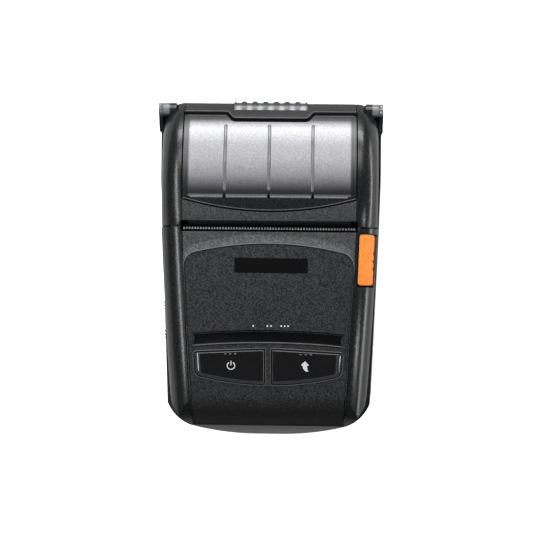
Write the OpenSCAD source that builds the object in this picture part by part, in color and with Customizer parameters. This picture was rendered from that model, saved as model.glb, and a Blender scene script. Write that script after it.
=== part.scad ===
// Portable receipt printer lying on its back: clamshell paper lid at +Y, rounded nose at -Y, +Z up.
// The origin is on the table, under the middle of the case.

/* [Case] */
// Length of the case from nose to hinge barrel
case_length = 119; // [115:0.5:125]
// Width of the case at its widest height
case_width = 78.8; // [78.4:0.2:82]
// Height of the lid's crest above the table
case_height = 44; // [44:0.2:46]
// Thickness of the case and lid walls
wall = 2; // [1.8:0.1:2.1]
// Height of the seam between the lower case and what sits on it
seam_z = 25; // [24.5:0.1:25.6]
// Angle that each side of the upper case turns in towards the nose
taper = 2.9; // [2.6:0.1:3.2]
// Angle that each side of the lower case turns in towards the nose
base_taper = 2.3; // [2:0.1:2.6]
// Radius of the nose in plan
nose_plan_r = 98; // [90:1:110]
// Radius of the nose corners in plan
corner_r = 14; // [12:0.5:15]
// Radius of the nose seen from the side
nose_side_r = 22; // [20:0.5:23]
// Radius of the shoulders that run along the sides
shoulder_r = 8; // [7:0.25:8.5]
// Gap along every visible seam between pieces
seam_gap = 0.2; // [0.15:0.05:0.3]

/* [Lid] */
// Radius of the lid's top, seen from the side
lid_r = 40; // [39.5:0.25:41]
// Radius of the lid's rear corners in plan
lid_corner_r = 8; // [7:0.5:9]
// Radius of the hinge barrel along the rear edge
barrel_r = 2.5; // [2.3:0.1:2.6]
// Radius of the two hinge pins
hinge_pin_r = 1.25; // [1:0.05:1.3]
// Thickness of the clear window
window_t = 1.3; // [1:0.1:1.5]
// Half the width of the window
window_half = 30.2; // [29.5:0.1:30.3]

/* [Paper] */
// Width of the paper roll
paper_w = 57.5; // [56:0.5:58]
// Diameter of the paper roll in the bay
roll_d = 36; // [30:0.5:36]
// Outer diameter of the roll's core
core_d = 15; // [14:0.5:20]
// Inner diameter of the roll's core
core_bore = 11.5; // [10:0.5:11.5]

/* [Print mechanism] */
// Diameter of the rubber platen roller
platen_d = 9; // [8.4:0.1:9.2]
// Gear module
gear_module = 0.5; // [0.5]
// Teeth of the platen gear
platen_teeth = 18; // [18]
// Teeth of the idler's small gear, which drives the platen gear
idler_small_teeth = 16; // [16]
// Teeth of the idler's large gear, which the pinion drives
idler_large_teeth = 28; // [28]
// Teeth of the motor pinion
pinion_teeth = 12; // [12]
// Tooth pitch of the tear bar
tear_pitch = 1.02; // [0.9:0.02:1.4]

/* [Controls] */
// Length of the open lever along the side
lever_length = 17.6; // [16:0.2:18]
// Distance from the lever's rear end to the rear of the case
lever_back = 47; // [46.5:0.1:48]
// Width of the open lever
lever_width = 6.1; // [6:0.1:6.3]
// Travel of each button
button_travel = 0.6; // [0.4:0.05:0.65]

/* [Battery] */
// Width of the battery pack
battery_w = 55.8; // [50:0.2:56]
// Length of the battery pack
battery_l = 41.4; // [38:0.2:41.6]
// Height of the battery pack
battery_h = 13; // [12:0.1:13.1]

/* [Hidden] */
big = 300;

// Case outline
half_w = case_width / 2;
rear_y = case_length / 2;
nose_y = -case_length / 2;
taper_y = rear_y - 47;
side_lean = 1.2;
side_skim = 0.02;
side_draft = 0.8;
draft_z = 11;
foot_r = 3;
nose_foot_r = 7;
nose_c = [0, nose_y + nose_plan_r];
function aim(a) = [cos(a), sin(a)];
function on_side(a, t, d) = [half_w, taper_y] - [sin(a), cos(a)] * t - aim(-a) * d;
function corner_miss(p) = norm(p - nose_c) - (nose_plan_r - corner_r);
function corner_next(a, d, t, e) = abs(e) < 1e-6 ? on_side(a, t, d) : corner_at(a, d, t - e);
function corner_at(a, d, t) = corner_next(a, d, t, corner_miss(on_side(a, t, d)));
base_corner = corner_at(base_taper, corner_r, 58);
top_corner = corner_at(taper, corner_r + side_lean - side_skim, 58);

// Deck, the long curve of the top in front of the slot, turned about a line along X
deck_r = 210;
deck_y = rear_y - 46;
deck_z = case_height - 2.7;
deck_c = [deck_y, deck_z - deck_r];
function deck_at(y, d) = deck_c[1] + sqrt(pow(deck_r - d, 2) - pow(y - deck_c[0], 2));
rail_half = 30.3;
rail_out = half_w - side_lean;
field_drop = 0.35;
nose_side_y = nose_y + nose_side_r;
nose_drop_y = nose_side_y - deck_c[0];
nose_bite = 0.035;
nose_side_z = deck_c[1] + sqrt(pow(deck_r - nose_side_r + nose_bite, 2) - pow(nose_drop_y, 2));
nose_turn_y = nose_side_y + nose_side_r * nose_drop_y / (deck_r - nose_side_r);

// Lid
lid_crest_y = rear_y - 29.5;
lid_c = [lid_crest_y, case_height - lid_r];
hinge_y = rear_y - barrel_r;
hinge_z = lid_c[1] + sqrt(pow(lid_r, 2) - pow(hinge_y - lid_crest_y, 2)) - barrel_r;
hinge_sweep_r = hinge_z - seam_z + 0.5;
lid_rear_z = hinge_z - barrel_r + 0.1;
rear_sweep_r = norm([barrel_r, hinge_z - lid_rear_z]) + 0.3;
rear_half = 31;
ear_in = rail_out + 0.2;
ear_out = half_w + 0.4;
ear_y0 = rear_y - 10;
shoulder_in = 33.7;
shoulder_z = hinge_z - barrel_r - 0.4;
lug_in = 30.6;
lug_out = 33.6;
lid_seam_y = rear_y - 44.1;
lid_bottom_z = seam_z + 0.3;
slot_front_y = rear_y - 45.8;
slot_rear_y = slot_front_y + 3.9;
slot_half = 31;
window_front_y = rear_y - 33.5;
window_rear_y = rear_y - 3.4;
window_lip_y = rear_y - 38.7;
lip_drop = 0.6;
bar_y = rear_y - 3.3;
bar_tab_y = rear_y - 5.5;
rear_trim_y = rear_y - 7.5;
bar_tab = [12.9, 14.5];
bar_t = 1;
window_lip_r = 111;

// Paper bay
roll_r = roll_d / 2;
roll_y = rear_y - 21.5;
rest_gap = 0.3;
roll_z = wall + rest_gap + roll_r;
bay_r = roll_r + rest_gap;
bay_half = paper_w / 2 + 0.85;
bay_t = 1.1;
bay_top_z = hinge_z - 2.5;
bay_rear_z = hinge_z - 6.8;

// Mechanism
platen_y = slot_front_y + 6.2;
platen_z = case_height - 9.8;
liner_z = case_height - 4.1;
platen_r = platen_d / 2;
platen_half = paper_w / 2 + 0.05;
shaft_r = 2;
gear_seat_r = 1.25;
bush_r = 2.8;
run_gap = 0.05;
arm_in = platen_half + 0.6;
arm_out = arm_in + 1.4;
plate_in = arm_out + 0.4;
plate_out = plate_in + 0.8;
gear_x = plate_out + 0.3;
gear_t = 1.2;
gear_x2 = gear_x + gear_t + 0.2;
function pitch_r(n) = n * gear_module / 2;
idler_angle = 243;
idler_gap = pitch_r(platen_teeth) + pitch_r(idler_small_teeth);
idler_y = platen_y + idler_gap * cos(idler_angle);
idler_z = platen_z + idler_gap * sin(idler_angle);
pinion_angle = 222;
pinion_gap = pitch_r(idler_large_teeth) + pitch_r(pinion_teeth);
pinion_y = idler_y + pinion_gap * cos(pinion_angle);
pinion_z = idler_z + pinion_gap * sin(pinion_angle);
motor_r = 7.2;
platen_pitch = 360 / platen_teeth;
platen_off = idler_angle - round(idler_angle / platen_pitch) * platen_pitch;
idler_turn = idler_angle - 180 + (platen_off * platen_teeth - 180) / idler_small_teeth;
idler_turn2 = pinion_angle;
pinion_turn = pinion_angle - 180 - 180 / pinion_teeth;
mech_z = pinion_z - motor_r - 1.6;
mech_wall_y = platen_y - 16.9;
mech_front_y = mech_wall_y - 4;
mech_rear_y = mech_wall_y + 14;
mech_top_z = platen_z + 3.8;
head_y = platen_y - platen_r - 0.1;
head_t = 0.7;
sink_t = 3;
head_half = platen_half + 0.5;
head_pivot_z = platen_z - 5.5;
head_pivot_r = 1;
tear_z = case_height - 3.3;

// Controls
panel_t = 1.1;
panel_taper = 2.2;
panel_half = 29.7;
panel_rear_y = slot_front_y - 4.2;
panel_side_y = panel_rear_y - 6.7;
panel_front_y = nose_y + 8.5;
panel_arc_r = 110;
panel_corner_r = 4.5;
badge = [-11.9, 13.6, panel_rear_y - 10.1, panel_rear_y - 5.1];
badge_t = 0.4;
panel_dir = [sin(panel_taper), cos(panel_taper)];
panel_out = [cos(panel_taper), -sin(panel_taper)];
function panel_side(t, d) = [panel_half, panel_side_y] + panel_dir * t - panel_out * d;
panel_arc_c = [0, panel_rear_y - panel_arc_r];
function panel_miss(p) = norm(p - panel_arc_c) - (panel_arc_r - panel_corner_r);
function panel_at(t) = let (p = panel_side(t, panel_corner_r), e = panel_miss(p)) abs(e)
    < 1e-6 ? p : panel_at(t - e);
panel_corner_c = panel_at(0);
panel_corner_a = atan2(panel_corner_c[1] - panel_arc_c[1], panel_corner_c[0]);
panel_front_x = panel_half - (panel_side_y - panel_front_y) * tan(panel_taper);
function arc_points(c, r, a0, a1, n) = [for (i = [1:n - 1]) c + r * aim(a0 + (a1 - a0) * i / n)];
function flip(points) = [for (i = [len(points) - 1:-1:0]) [-points[i][0], points[i][1]]];
function panel_right(w) = concat([[panel_front_x - w, panel_front_y + w]],
    [panel_corner_c + (panel_corner_r - w) * aim(-panel_taper)],
    arc_points(panel_corner_c, panel_corner_r - w, -panel_taper, panel_corner_a, 6),
    [panel_corner_c + (panel_corner_r - w) * aim(panel_corner_a)]);
key_y = nose_y + 24.7;
key_z = deck_at(key_y, field_drop);
key_tilt = asin((deck_y - key_y) / (deck_r - field_drop));
key_gap = 0.2;
key_flange_n = -2.4;
switch_n = key_flange_n - 0.6 - button_travel - 0.05;
function key_points(w) = [[-26.1 + w, 6 - w], [-1.3 - w, 7.4 - w], [-1.3 - w, -5.1 + w], [-21.5,
    -2.5 + w], [-24.6 + w, -0.4]];
board_n = -5.5;
panel_board_t = 1;
lens_y = key_y + 11.3;
lever_y1 = rear_y - lever_back;
lever_y0 = lever_y1 - lever_length;
lever_x0 = rail_out - lever_width;
lever_gap = 0.25;
lever_end_gap = 0.5;
lever_low_z = case_height - 8.6;
lever_pin_y = lever_y0 + 1.4;
lever_pin_z = case_height - 5.8;
lever_hook_z = platen_z - 1.2;
lever_pin_r = 0.6;
lever_t = 2;

// Battery and boards
battery_y0 = nose_y + 9.8;
battery_y1 = battery_y0 + battery_l;
battery_z = 0.3;
battery_gap = 0.3;
battery_wall = 1.2;
bay_roof_z = battery_z + battery_h + 0.3;
board_z = bay_roof_z + battery_wall + 0.8;
board_t = 1.2;
board_top = board_z + board_t;
port_y0 = nose_y + 27.5;
port_y1 = port_y0 + 21;
port_z0 = board_z - 0.4;
port_z1 = seam_z - 1;
usb_y = port_y0 + 15;
jack_y = port_y0 + 5.35;
port_t = 1.5;
port_pin_r = 0.55;
case_posts = [[33.2, nose_y + 50.5], [31.8, nose_y + 22.5]];
case_screw_z = case_height - 13;
board_y0 = battery_y0 - 0.3;
board_y1 = mech_front_y - 2;
board_posts = [[25, board_y0 + 4], [25, board_y1 - 9]];
mech_posts = [[28, mech_front_y + 2], [28, mech_rear_y - 2]];

module sides() { children(); mirror([1, 0, 0]) children(); }
module side_prism(x0, x1) translate([x0, 0, 0]) rotate([90, 0, 90]) linear_extrude(x1 - x0) children();
module x_rod(x0, x1, y, z, r) translate([x0, y, z]) rotate([0, 90, 0]) cylinder(r = r, h = x1 - x0, $fn = 48);
module block(x0, x1, y0, y1, z0, z1) translate([x0, y0, z0]) cube([x1 - x0, y1 - y0, z1 - z0]);
module tapered(a = taper) translate([half_w, taper_y, 0]) rotate([0, 0, -a]) translate([-half_w,
    -taper_y, 0]) children();
module base_tapered() tapered(base_taper) children();
module left() mirror([1, 0, 0]) children();

// Plan outline of the case, moved in by w: of the lower case, and of what sits on it
module plan(w) outline(w, 0, base_taper, base_corner);
module top_plan(w) outline(w, side_lean - side_skim, taper, top_corner);
module outline(w, lean, a, c) difference() {
    intersection() {
        translate([-half_w, nose_y - 5]) square([2 * half_w, case_length + 5 - w]);
        plan_side(w + lean, a);
        mirror([1, 0]) plan_side(w + lean, a);
        square([2 * (half_w - lean - w), big], center = true);
        translate(nose_c) circle(nose_plan_r - w, $fn = 360);
    }
    plan_corner(w, a, c);
    mirror([1, 0]) plan_corner(w, a, c);
}
module plan_side(w, a) translate([half_w, taper_y]) rotate(-a) translate([-big - w, -big]) square([big,
    2 * big]);
module plan_corner(w, a, c) corner_cut(c, corner_r - w, -a, atan2(c[1] - nose_c[1], c[0] - nose_c[0]));
module corner_cut(c, r, a0, a1) translate(c) difference() {
    polygon([[0, 0], 60 * aim(a0), 90 * aim((a0 + a1) / 2), 60 * aim(a1)]);
    circle(r, $fn = 96);
}

// Solid of the upper case's outside, moved in by w
module upper_form(w) difference() {
    linear_extrude(60) top_plan(w);
    sides() rail_cutter(w);
    field_cutter(w);
    nose_cutter(w);
}
module rail_cutter(w) tapered() difference() {
    translate([rail_half, -80, 10]) cube([20, 145, 60]);
    translate([0, deck_c[0], deck_c[1]]) rotate([0, 90, 0]) rotate_extrude($fn = 360) rail_section(w);
}
module rail_section(w) difference() {
    square([deck_r - w, rail_out - w]);
    difference() {
        translate([deck_r - shoulder_r, rail_out - shoulder_r]) square(shoulder_r + 1);
        translate([deck_r - shoulder_r, rail_out - shoulder_r]) circle(shoulder_r - w, $fn = 64);
    }
}
module field_cutter(w) intersection() {
    side_prism(-60, 60) difference() {
        translate([nose_y - 20, nose_side_z]) square([case_length + 40, 60]);
        field_profile(w, 60);
    }
    tapered() translate([-100, -80, 0]) cube([100 + rail_half + 0.2, 145, 80]);
    mirror([1, 0, 0]) tapered() translate([-100, -80, 0]) cube([100 + rail_half + 0.2, 145, 80]);
}
module nose_cutter(w) side_prism(-60, 60) difference() {
    translate([nose_y - 20, nose_side_z]) square([nose_turn_y - nose_y + 20, 60]);
    translate([nose_side_y, nose_side_z]) circle(nose_side_r - w, $fn = 128);
}

// Solid of the lid's outside, moved in by w
module lid_form(w) intersection() {
    translate([0, lid_c[0], lid_c[1]]) rotate([0, 90, 0]) rotate_extrude($fn = 180) lid_section(w);
    linear_extrude(60) lid_plan(w);
}
module lid_section(w) difference() {
    translate([0, -rail_out + w]) square([lid_r - w, 2 * (rail_out - w)]);
    for (m = [0, 1]) mirror([0, m]) difference() {
        translate([lid_r - shoulder_r, rail_out - shoulder_r]) square(shoulder_r + 1);
        translate([lid_r - shoulder_r, rail_out - shoulder_r]) circle(shoulder_r - w, $fn = 64);
    }
}
module lid_plan(w) difference() {
    translate([-half_w, 0]) square([2 * half_w, rear_y - w]);
    for (m = [0, 1]) mirror([m, 0]) difference() {
        translate([rail_out - lid_corner_r, rear_y - lid_corner_r]) square(lid_corner_r + 5);
        translate([rail_out - lid_corner_r, rear_y - lid_corner_r]) circle(lid_corner_r - w, $fn = 64);
    }
}

// Lower case with its posts, battery bay and hinge ears
module lower_case() color("#2b2d2e") difference() {
    union() {
        difference() {
            lower_form(0, 0);
            lower_form(wall, wall);
        }
        left() base_tapered() block(half_w - 2.9, half_w - 1, port_y0 - 1, port_y1 + 1, port_z0 - 2, seam_z);
        battery_walls();
        for (p = case_posts) sides() translate([p[0], p[1], 1]) cylinder(r = 2.9, h = seam_z - 1, $fn = 40);
        for (p = board_posts) sides() board_post(p);
        for (p = mech_posts) sides() translate([p[0], p[1], 1]) cylinder(r = 2.4, h = mech_z - 1, $fn = 40);
        sides() hinge_ear();
        sides() hinge_shoulder();
        block(-rear_half + 0.3, rear_half - 0.3, rear_y - wall, rear_y, seam_z - 5, shoulder_z);
    }
    sides() base_tapered() translate([0, 90, 0]) rotate([90, 0, 0]) linear_extrude(200) side_cut();
    nose_foot_cut();
    battery_cut();
    for (p = case_posts) sides() translate([p[0], p[1], 0]) case_bore();
    for (p = board_posts) sides() translate([p[0], p[1], bay_roof_z - 0.1]) cylinder(r = 0.8, h = 5,
        $fn = 24);
    for (p = mech_posts) sides() translate([p[0], p[1], 4]) cylinder(r = 1, h = 20, $fn = 24);
    sides() x_rod(rear_half - 0.3, shoulder_in, hinge_y, hinge_z, hinge_sweep_r);
    x_rod(-rear_half, rear_half, hinge_y, hinge_z, rear_sweep_r);
    x_rod(-60, 60, hinge_y, hinge_z, hinge_pin_r + 0.02);
    left() port_cut();
    latch_cut();
}
module lower_form(w, z0) difference() {
    translate([0, 0, z0]) linear_extrude(seam_z - z0 / 2) plan(w);
    nose_cutter(w);
    block(-60, 60, -80, 80, seam_z + z0, 60);
}
module side_cut() {
    difference() {
        translate([half_w - foot_r, -1]) square([foot_r + 1, foot_r + 1]);
        translate([half_w - foot_r, foot_r]) circle(foot_r, $fn = 48);
    }
    polygon([[half_w, draft_z], [half_w - side_draft, seam_z + 0.2], [half_w + 2, seam_z + 0.2],
        [half_w + 2, draft_z]]);
}
module nose_foot_cut() side_prism(-60, 60) difference() {
    translate([nose_y - 1, -1]) square([nose_foot_r + 1, nose_foot_r + 1]);
    translate([nose_y + nose_foot_r, nose_foot_r]) circle(nose_foot_r, $fn = 64);
}
module hinge_ear() side_prism(ear_in, ear_out) {
    polygon([[ear_y0, seam_z - 5], [rear_y, seam_z - 5], [rear_y, hinge_z], [hinge_y, hinge_z + barrel_r],
        [ear_y0, hinge_z - 3]]);
    translate([hinge_y, hinge_z]) circle(barrel_r, $fn = 48);
}
module hinge_shoulder() difference() {
    block(shoulder_in, ear_out, ear_y0 + 0.5, rear_y, seam_z - 5, shoulder_z);
    linear_extrude(60) lid_plan(-2 * seam_gap);
    block(0, half_w - wall, 0, rear_y - wall, 0, 60);
}
module battery_walls() {
    w = battery_gap + battery_wall;
    block(-battery_w / 2 - w, battery_w / 2 + w, battery_y0 - w, battery_y1 + w, 0,
        bay_roof_z + battery_wall);
}
module battery_cut() {
    w = battery_gap;
    block(-battery_w / 2 - w, battery_w / 2 + w, battery_y0 - w, battery_y1 + w, -1, bay_roof_z);
    block(-6.3, 6.3, battery_y0 + 0.5, battery_y0 + 4.1, bay_roof_z - 1, bay_roof_z + 3);
}
module board_post(p) translate([p[0], p[1], bay_roof_z]) cylinder(r = 2.2, h = board_z - bay_roof_z,
    $fn = 32);
module case_bore() {
    translate([0, 0, -1]) cylinder(r = 2.15, h = 4, $fn = 32);
    cylinder(r = 1.15, h = seam_z + 1, $fn = 32);
}
module port_cut() base_tapered() {
    block(half_w - port_t - 0.1, half_w + 2, port_y0 - 0.2, port_y1 + 0.2, port_z0 - 0.8, port_z1 + 0.2);
    block(half_w - 6, half_w + 2, usb_y - 4.1, usb_y + 4.1, board_top - 0.1, board_top + 4.2);
    block(half_w - 6, half_w + 2, jack_y - 3.75, jack_y + 3.75, board_top - 0.1, board_top + 6.6);
}
module latch_cut() {
    block(-7.2, 7.2, battery_y1 + 1.8, battery_y1 + 9.1, -1, wall + 0.1);
    block(-4.2, 4.2, battery_y1 - 0.5, battery_y1 + 1.8, wall, wall + 1.5);
}

// Upper case with its posts and cut-outs
module upper_case() color("#3a3c3d") difference() {
    upper_form(0);
    difference() {
        upper_form(wall);
        upper_posts();
    }
    block(-60, 60, -80, 80, -1, seam_z);
    block(-60, 60, lid_seam_y - 0.2, 80, -1, 80);
    block(-slot_half, slot_half, slot_front_y, 80, -1, 80);
    field_skin(-1, panel_t + 0.05) panel_plan(-seam_gap);
    sides() on_keys() key_prism(-key_gap, -9, 9);
    linear_extrude(60) lens_plan(1);
    tapered() lever_room();
    for (p = case_posts) sides() translate([p[0], p[1], 20]) cylinder(r = 1.1, h = case_screw_z - 19.6,
        $fn = 32);
    tapered() x_rod(29.7, 34, lever_pin_y, lever_pin_z, lever_pin_r + 0.02);
}
module upper_posts() {
    for (p = case_posts) sides() translate([p[0], p[1], 20]) cylinder(r = 2.9, h = 30, $fn = 40);
    on_keys() for (x = [-27, 27]) for (y = [-4.5, 13]) translate([x, y, board_n]) cylinder(r = 1.6,
        h = 9, $fn = 32);
    tapered() block(29.4, lever_x0 - 0.5, lever_pin_y - 1.5, lever_pin_y + 1.5, lever_pin_z - 1.6, 60);
}
module lever_room() {
    block(lever_x0 - lever_gap, 60, lever_y0 - lever_end_gap, lever_y1 + lever_end_gap,
        lever_low_z - 0.3, 60);
}
module on_keys() translate([0, key_y, key_z]) rotate([key_tilt, 0, 0]) children();
module key_prism(w, n0, n1) translate([0, 0, n0]) linear_extrude(n1 - n0) polygon(key_points(w));
module field_skin(d0, d1) intersection() {
    translate([0, 0, 15]) linear_extrude(45) children();
    side_prism(-40, 40) difference() {
        field_profile(d0, slot_front_y);
        field_profile(d1, slot_front_y);
    }
}
module field_profile(w, y1) difference() {
    intersection() {
        translate([nose_y - 20, 5]) square([y1 - nose_y + 20, 60]);
        translate(deck_c) circle(deck_r - field_drop - w, $fn = 360);
    }
    difference() {
        translate([nose_y - 21, nose_side_z]) square([nose_turn_y - nose_y + 21, 60]);
        translate([nose_side_y, nose_side_z]) circle(nose_side_r - field_drop - w, $fn = 128);
    }
}
module panel_plan(w) polygon(concat(panel_right(w), arc_points(panel_arc_c, panel_arc_r - w,
    panel_corner_a, 180 - panel_corner_a, 8), flip(panel_right(w))));
module lens_plan(w) intersection() {
    translate([-26 + w, lens_y - 6.5]) square([52 - 2 * w, 12]);
    translate([0, lens_y + 2.1 - 285]) difference() {
        circle(285 - w, $fn = 720);
        circle(280.8 + w, $fn = 720);
    }
}
module badge_plan(w) translate([badge[0] + w, badge[2] + w]) square([badge[1] - badge[0] - 2 * w,
    badge[3] - badge[2] - 2 * w]);

// Control panel with its badge, lens and keys
module control_panel() color("#35383a") difference() {
    field_skin(0, panel_t) panel_plan(0);
    sides() on_keys() key_prism(-key_gap, -9, 9);
    linear_extrude(60) lens_plan(-0.1);
    field_skin(-1, badge_t + 0.05) badge_plan(-0.1);
}
module badge_plate() color("#8d9194") field_skin(0, badge_t) badge_plan(0);
module led_lens() color("#1c1d1f") field_skin(0.1, panel_t) lens_plan(0);
module power_button() color("#5b5f62") on_keys() key();
module feed_button() color("#5b5f62") mirror([1, 0, 0]) on_keys() key();
module key() {
    key_prism(0, key_flange_n - 0.1, 0.35);
    key_prism(-0.9, key_flange_n - 0.6, key_flange_n);
}
module panel_board() color("#2f5d43") on_keys() difference() {
    block(-29, 29, -6.5, 15, board_n - panel_board_t, board_n);
    for (x = [-27, 27]) for (y = [-4.5, 13]) translate([x, y, -9]) cylinder(r = 0.5, h = 9, $fn = 16);
}
module tact_switches() color("#c9c9c4") on_keys() for (x = [-14, 14]) {
    block(x - 2.6, x + 2.6, -1.6, 3.6, board_n, switch_n - 0.4);
    translate([x, 1, switch_n - 0.5]) cylinder(r = 1.2, h = 0.5, $fn = 32);
}
module status_leds() color("#e8e4cf") on_keys() for (x = [-20, -10, 0, 10, 20]) {
    block(x - 1, x + 1, 10.7, 12.7, board_n, board_n + 1.2);
}

// Open lever on its pin
module open_lever() color("#f08a3c") difference() {
    union() {
        difference() {
            intersection() {
                upper_form(0);
                tapered() block(lever_x0, 60, lever_y0, lever_y1, lever_low_z, 60);
            }
            upper_form(lever_t);
        }
        tapered() x_rod(lever_x0 + 0.3, lever_x0 + 2.7, lever_pin_y, lever_pin_z, 1.1);
        tapered() block(lever_x0 + 0.4, lever_x0 + 1.7, lever_y1 - 2.6, lever_y1 - 0.2, lever_hook_z,
            lever_pin_z + 0.6);
        tapered() block(lever_x0 + 0.4, lever_x0 + 1.7, lever_y1 - 2.6, lid_seam_y - 0.5,
            lever_hook_z, lever_hook_z + 1.6);
    }
    tapered() x_rod(lever_x0 - 1, lever_x0 + 3.6, lever_pin_y, lever_pin_z, lever_pin_r + run_gap);
}
module lever_pin() color("#b5b7b8") tapered() x_rod(29.8, lever_x0 + 3.4, lever_pin_y, lever_pin_z,
    lever_pin_r);

// Lid with its window, rear bar and liner
module lid_frame() color("#3a3c3d") difference() {
    union() {
        lid_shell();
        lid_skin(window_t + 0.05, window_t + 1.05) difference() {
            window_plan(-0.8);
            window_plan(2);
        }
        sides() intersection() {
            x_rod(lug_in, lug_out, hinge_y, hinge_z, barrel_r);
            lid_form(0.5);
        }
        sides() x_rod(lug_out - 0.1, rail_out, hinge_y, hinge_z, barrel_r);
    }
    x_rod(-60, 60, hinge_y, hinge_z, hinge_pin_r + run_gap);
}
module lid_shell() difference() {
    lid_form(0);
    lid_form(wall);
    lid_trim();
    translate([0, 0, lid_bottom_z]) linear_extrude(40) window_plan(-seam_gap);
    lid_skin(-1, lip_drop) lip_plan();
    lid_skin(-1, bar_t + 0.05) bar_plan(-0.1);
}
module lid_trim() {
    block(-60, 60, -80, 80, -1, lid_bottom_z);
    block(-60, 60, -80, lid_seam_y + 0.2, -1, 80);
    block(-slot_half, slot_half, -80, slot_rear_y, -1, 80);
    block(-rear_half, rear_half, rear_trim_y, 80, -1, lid_rear_z);
}
module lid_skin(d0, d1) intersection() {
    translate([0, 0, lid_bottom_z]) linear_extrude(40) children();
    side_prism(-38, 38) lid_ring(d0, d1);
}
module lid_ring(d0, d1) difference() {
    intersection() {
        translate(lid_c) circle(lid_r - d0, $fn = 360);
        translate([0, 10]) square([rear_y - d0, big]);
    }
    intersection() {
        translate(lid_c) circle(lid_r - d1, $fn = 360);
        translate([-1, 9]) square([rear_y - d1 + 1, big + 2]);
    }
}
module window_plan(w) difference() {
    translate([-window_half + w, window_front_y + w]) square([2 * (window_half - w),
        window_rear_y - window_front_y - 2 * w]);
    bar_plan(-w - 0.2);
}
module lip_plan() intersection() {
    translate([-window_half, window_lip_y - 1]) square([2 * window_half,
        window_front_y - window_lip_y + 1.1]);
    translate([0, window_lip_y + window_lip_r]) circle(window_lip_r, $fn = 360);
}
module bar_plan(w) polygon([[-window_half + w, rear_y + 3], [-window_half + w, bar_y + w], [-bar_tab[1],
    bar_y + w], [-bar_tab[0], bar_tab_y + w],
    [bar_tab[0], bar_tab_y + w], [bar_tab[1], bar_y + w], [window_half - w, bar_y + w], [window_half - w,
        rear_y + 3]]);
module lid_window() color("#5c6468") lid_skin(0, window_t) window_plan(0);
module lid_rear_bar() color("#3a3c3d") difference() {
    lid_skin(0, bar_t) bar_plan(0);
    block(-60, 60, rear_trim_y, 80, -1, lid_rear_z);
}
module lid_liner() color("#26282a") difference() {
    union() {
        block(-arm_out, arm_out, slot_rear_y + 0.7, window_front_y, liner_z - 1, liner_z);
        sides() side_prism(arm_in, arm_out) {
            translate([platen_y, platen_z]) circle(bush_r + 1, $fn = 48);
            translate([platen_y - 1.5, platen_z]) square([5.3, liner_z - 0.4 - platen_z]);
        }
        sides() translate([24, platen_y + 1.6, liner_z - 0.9]) cylinder(r = 2, h = 1.4, $fn = 32);
    }
    x_rod(-60, 60, platen_y, platen_z, bush_r);
}
module hinge_pins() color("#b5b7b8") sides() x_rod(lug_in + 0.2, ear_out - 0.1, hinge_y, hinge_z,
    hinge_pin_r);

// Platen with its shaft, bushes and gear
module platen_roller() color("#1d1e20") difference() {
    x_rod(-platen_half, platen_half, platen_y, platen_z, platen_r);
    x_rod(-60, 60, platen_y, platen_z, shaft_r);
}
module platen_shaft() color("#b5b7b8") {
    x_rod(-plate_out - 0.2, plate_out + 0.2, platen_y, platen_z, shaft_r);
    x_rod(-gear_x - gear_t, -plate_out, platen_y, platen_z, gear_seat_r);
}
module platen_bushes() color("#d8d4c8") sides() difference() {
    x_rod(arm_in, plate_out + 0.1, platen_y, platen_z, bush_r);
    x_rod(0, 60, platen_y, platen_z, shaft_r + run_gap);
}
module platen_gear() color("#e3dfd2") difference() {
    union() {
        left() gear(platen_teeth, gear_x, gear_t, platen_y, platen_z);
        left() x_rod(gear_x, gear_x + gear_t, platen_y, platen_z, 3);
    }
    x_rod(-60, 0, platen_y, platen_z, gear_seat_r);
}
module gear(n, x, t, y, z, turn = 0) translate([x, y, z]) rotate([90, 0, 90]) linear_extrude(t) rotate(turn) {
    circle(pitch_r(n) - 0.6 * gear_module, $fn = 96);
    for (i = [0:n - 1]) rotate(i * 360 / n) tooth(n);
}
module tooth(n) {
    r0 = pitch_r(n) - 0.9 * gear_module;
    r1 = pitch_r(n) + 0.45 * gear_module;
    polygon([[r0, -0.42 * gear_module * 2], [r0, 0.42 * gear_module * 2], [r1, 0.2 * gear_module * 2],
        [r1, -0.2 * gear_module * 2]]);
}

// Mechanism frame with the head and the drive
module mech_frame() color("#8f9496") difference() {
    union() {
        sides() side_prism(plate_in, plate_out) difference() {
            polygon([[mech_front_y, mech_z], [mech_rear_y, mech_z], [platen_y + 4.4, idler_z - 4.5],
                [platen_y + 4.4, platen_z + 0.3], [platen_y, platen_z + 0.3], [platen_y - 2, mech_top_z],
                [mech_wall_y, mech_top_z], [mech_front_y, mech_top_z - 8]]);
            translate([platen_y, platen_z]) circle(bush_r + 0.1, $fn = 48);
            translate([platen_y - bush_r - 0.1, platen_z]) square([2 * bush_r + 0.2, 10]);
            translate([head_y - head_t - 1.7, head_pivot_z]) circle(head_pivot_r + run_gap, $fn = 32);
            translate([pinion_y, pinion_z]) circle(2, $fn = 32);
        }
        block(-plate_out, plate_out, mech_front_y, mech_rear_y, mech_z, mech_z + 1.2);
        block(-plate_out, plate_out, mech_wall_y, mech_wall_y + 1, pinion_z + motor_r + 0.8, mech_top_z);
        block(-13, plate_out, mech_wall_y, mech_wall_y + 1, mech_z, pinion_z + motor_r + 1.4);
    }
    for (p = mech_posts) sides() translate([p[0], p[1], mech_z - 6]) cylinder(r = 1.1, h = 10, $fn = 32);
}
module tear_bar() color("#c4c8ca") {
    block(-plate_in, plate_in, slot_front_y + 0.15, slot_front_y + 0.7, tear_z - 3.4, tear_z - 1.7);
    difference() {
        translate([0, 0, tear_z - 1.7]) linear_extrude(1.7) tear_plan();
        translate([0, 0, tear_z - 1.7]) linear_extrude(0.9) translate([-40, slot_front_y + 0.7])
            square([80, 3]);
    }
}
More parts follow.
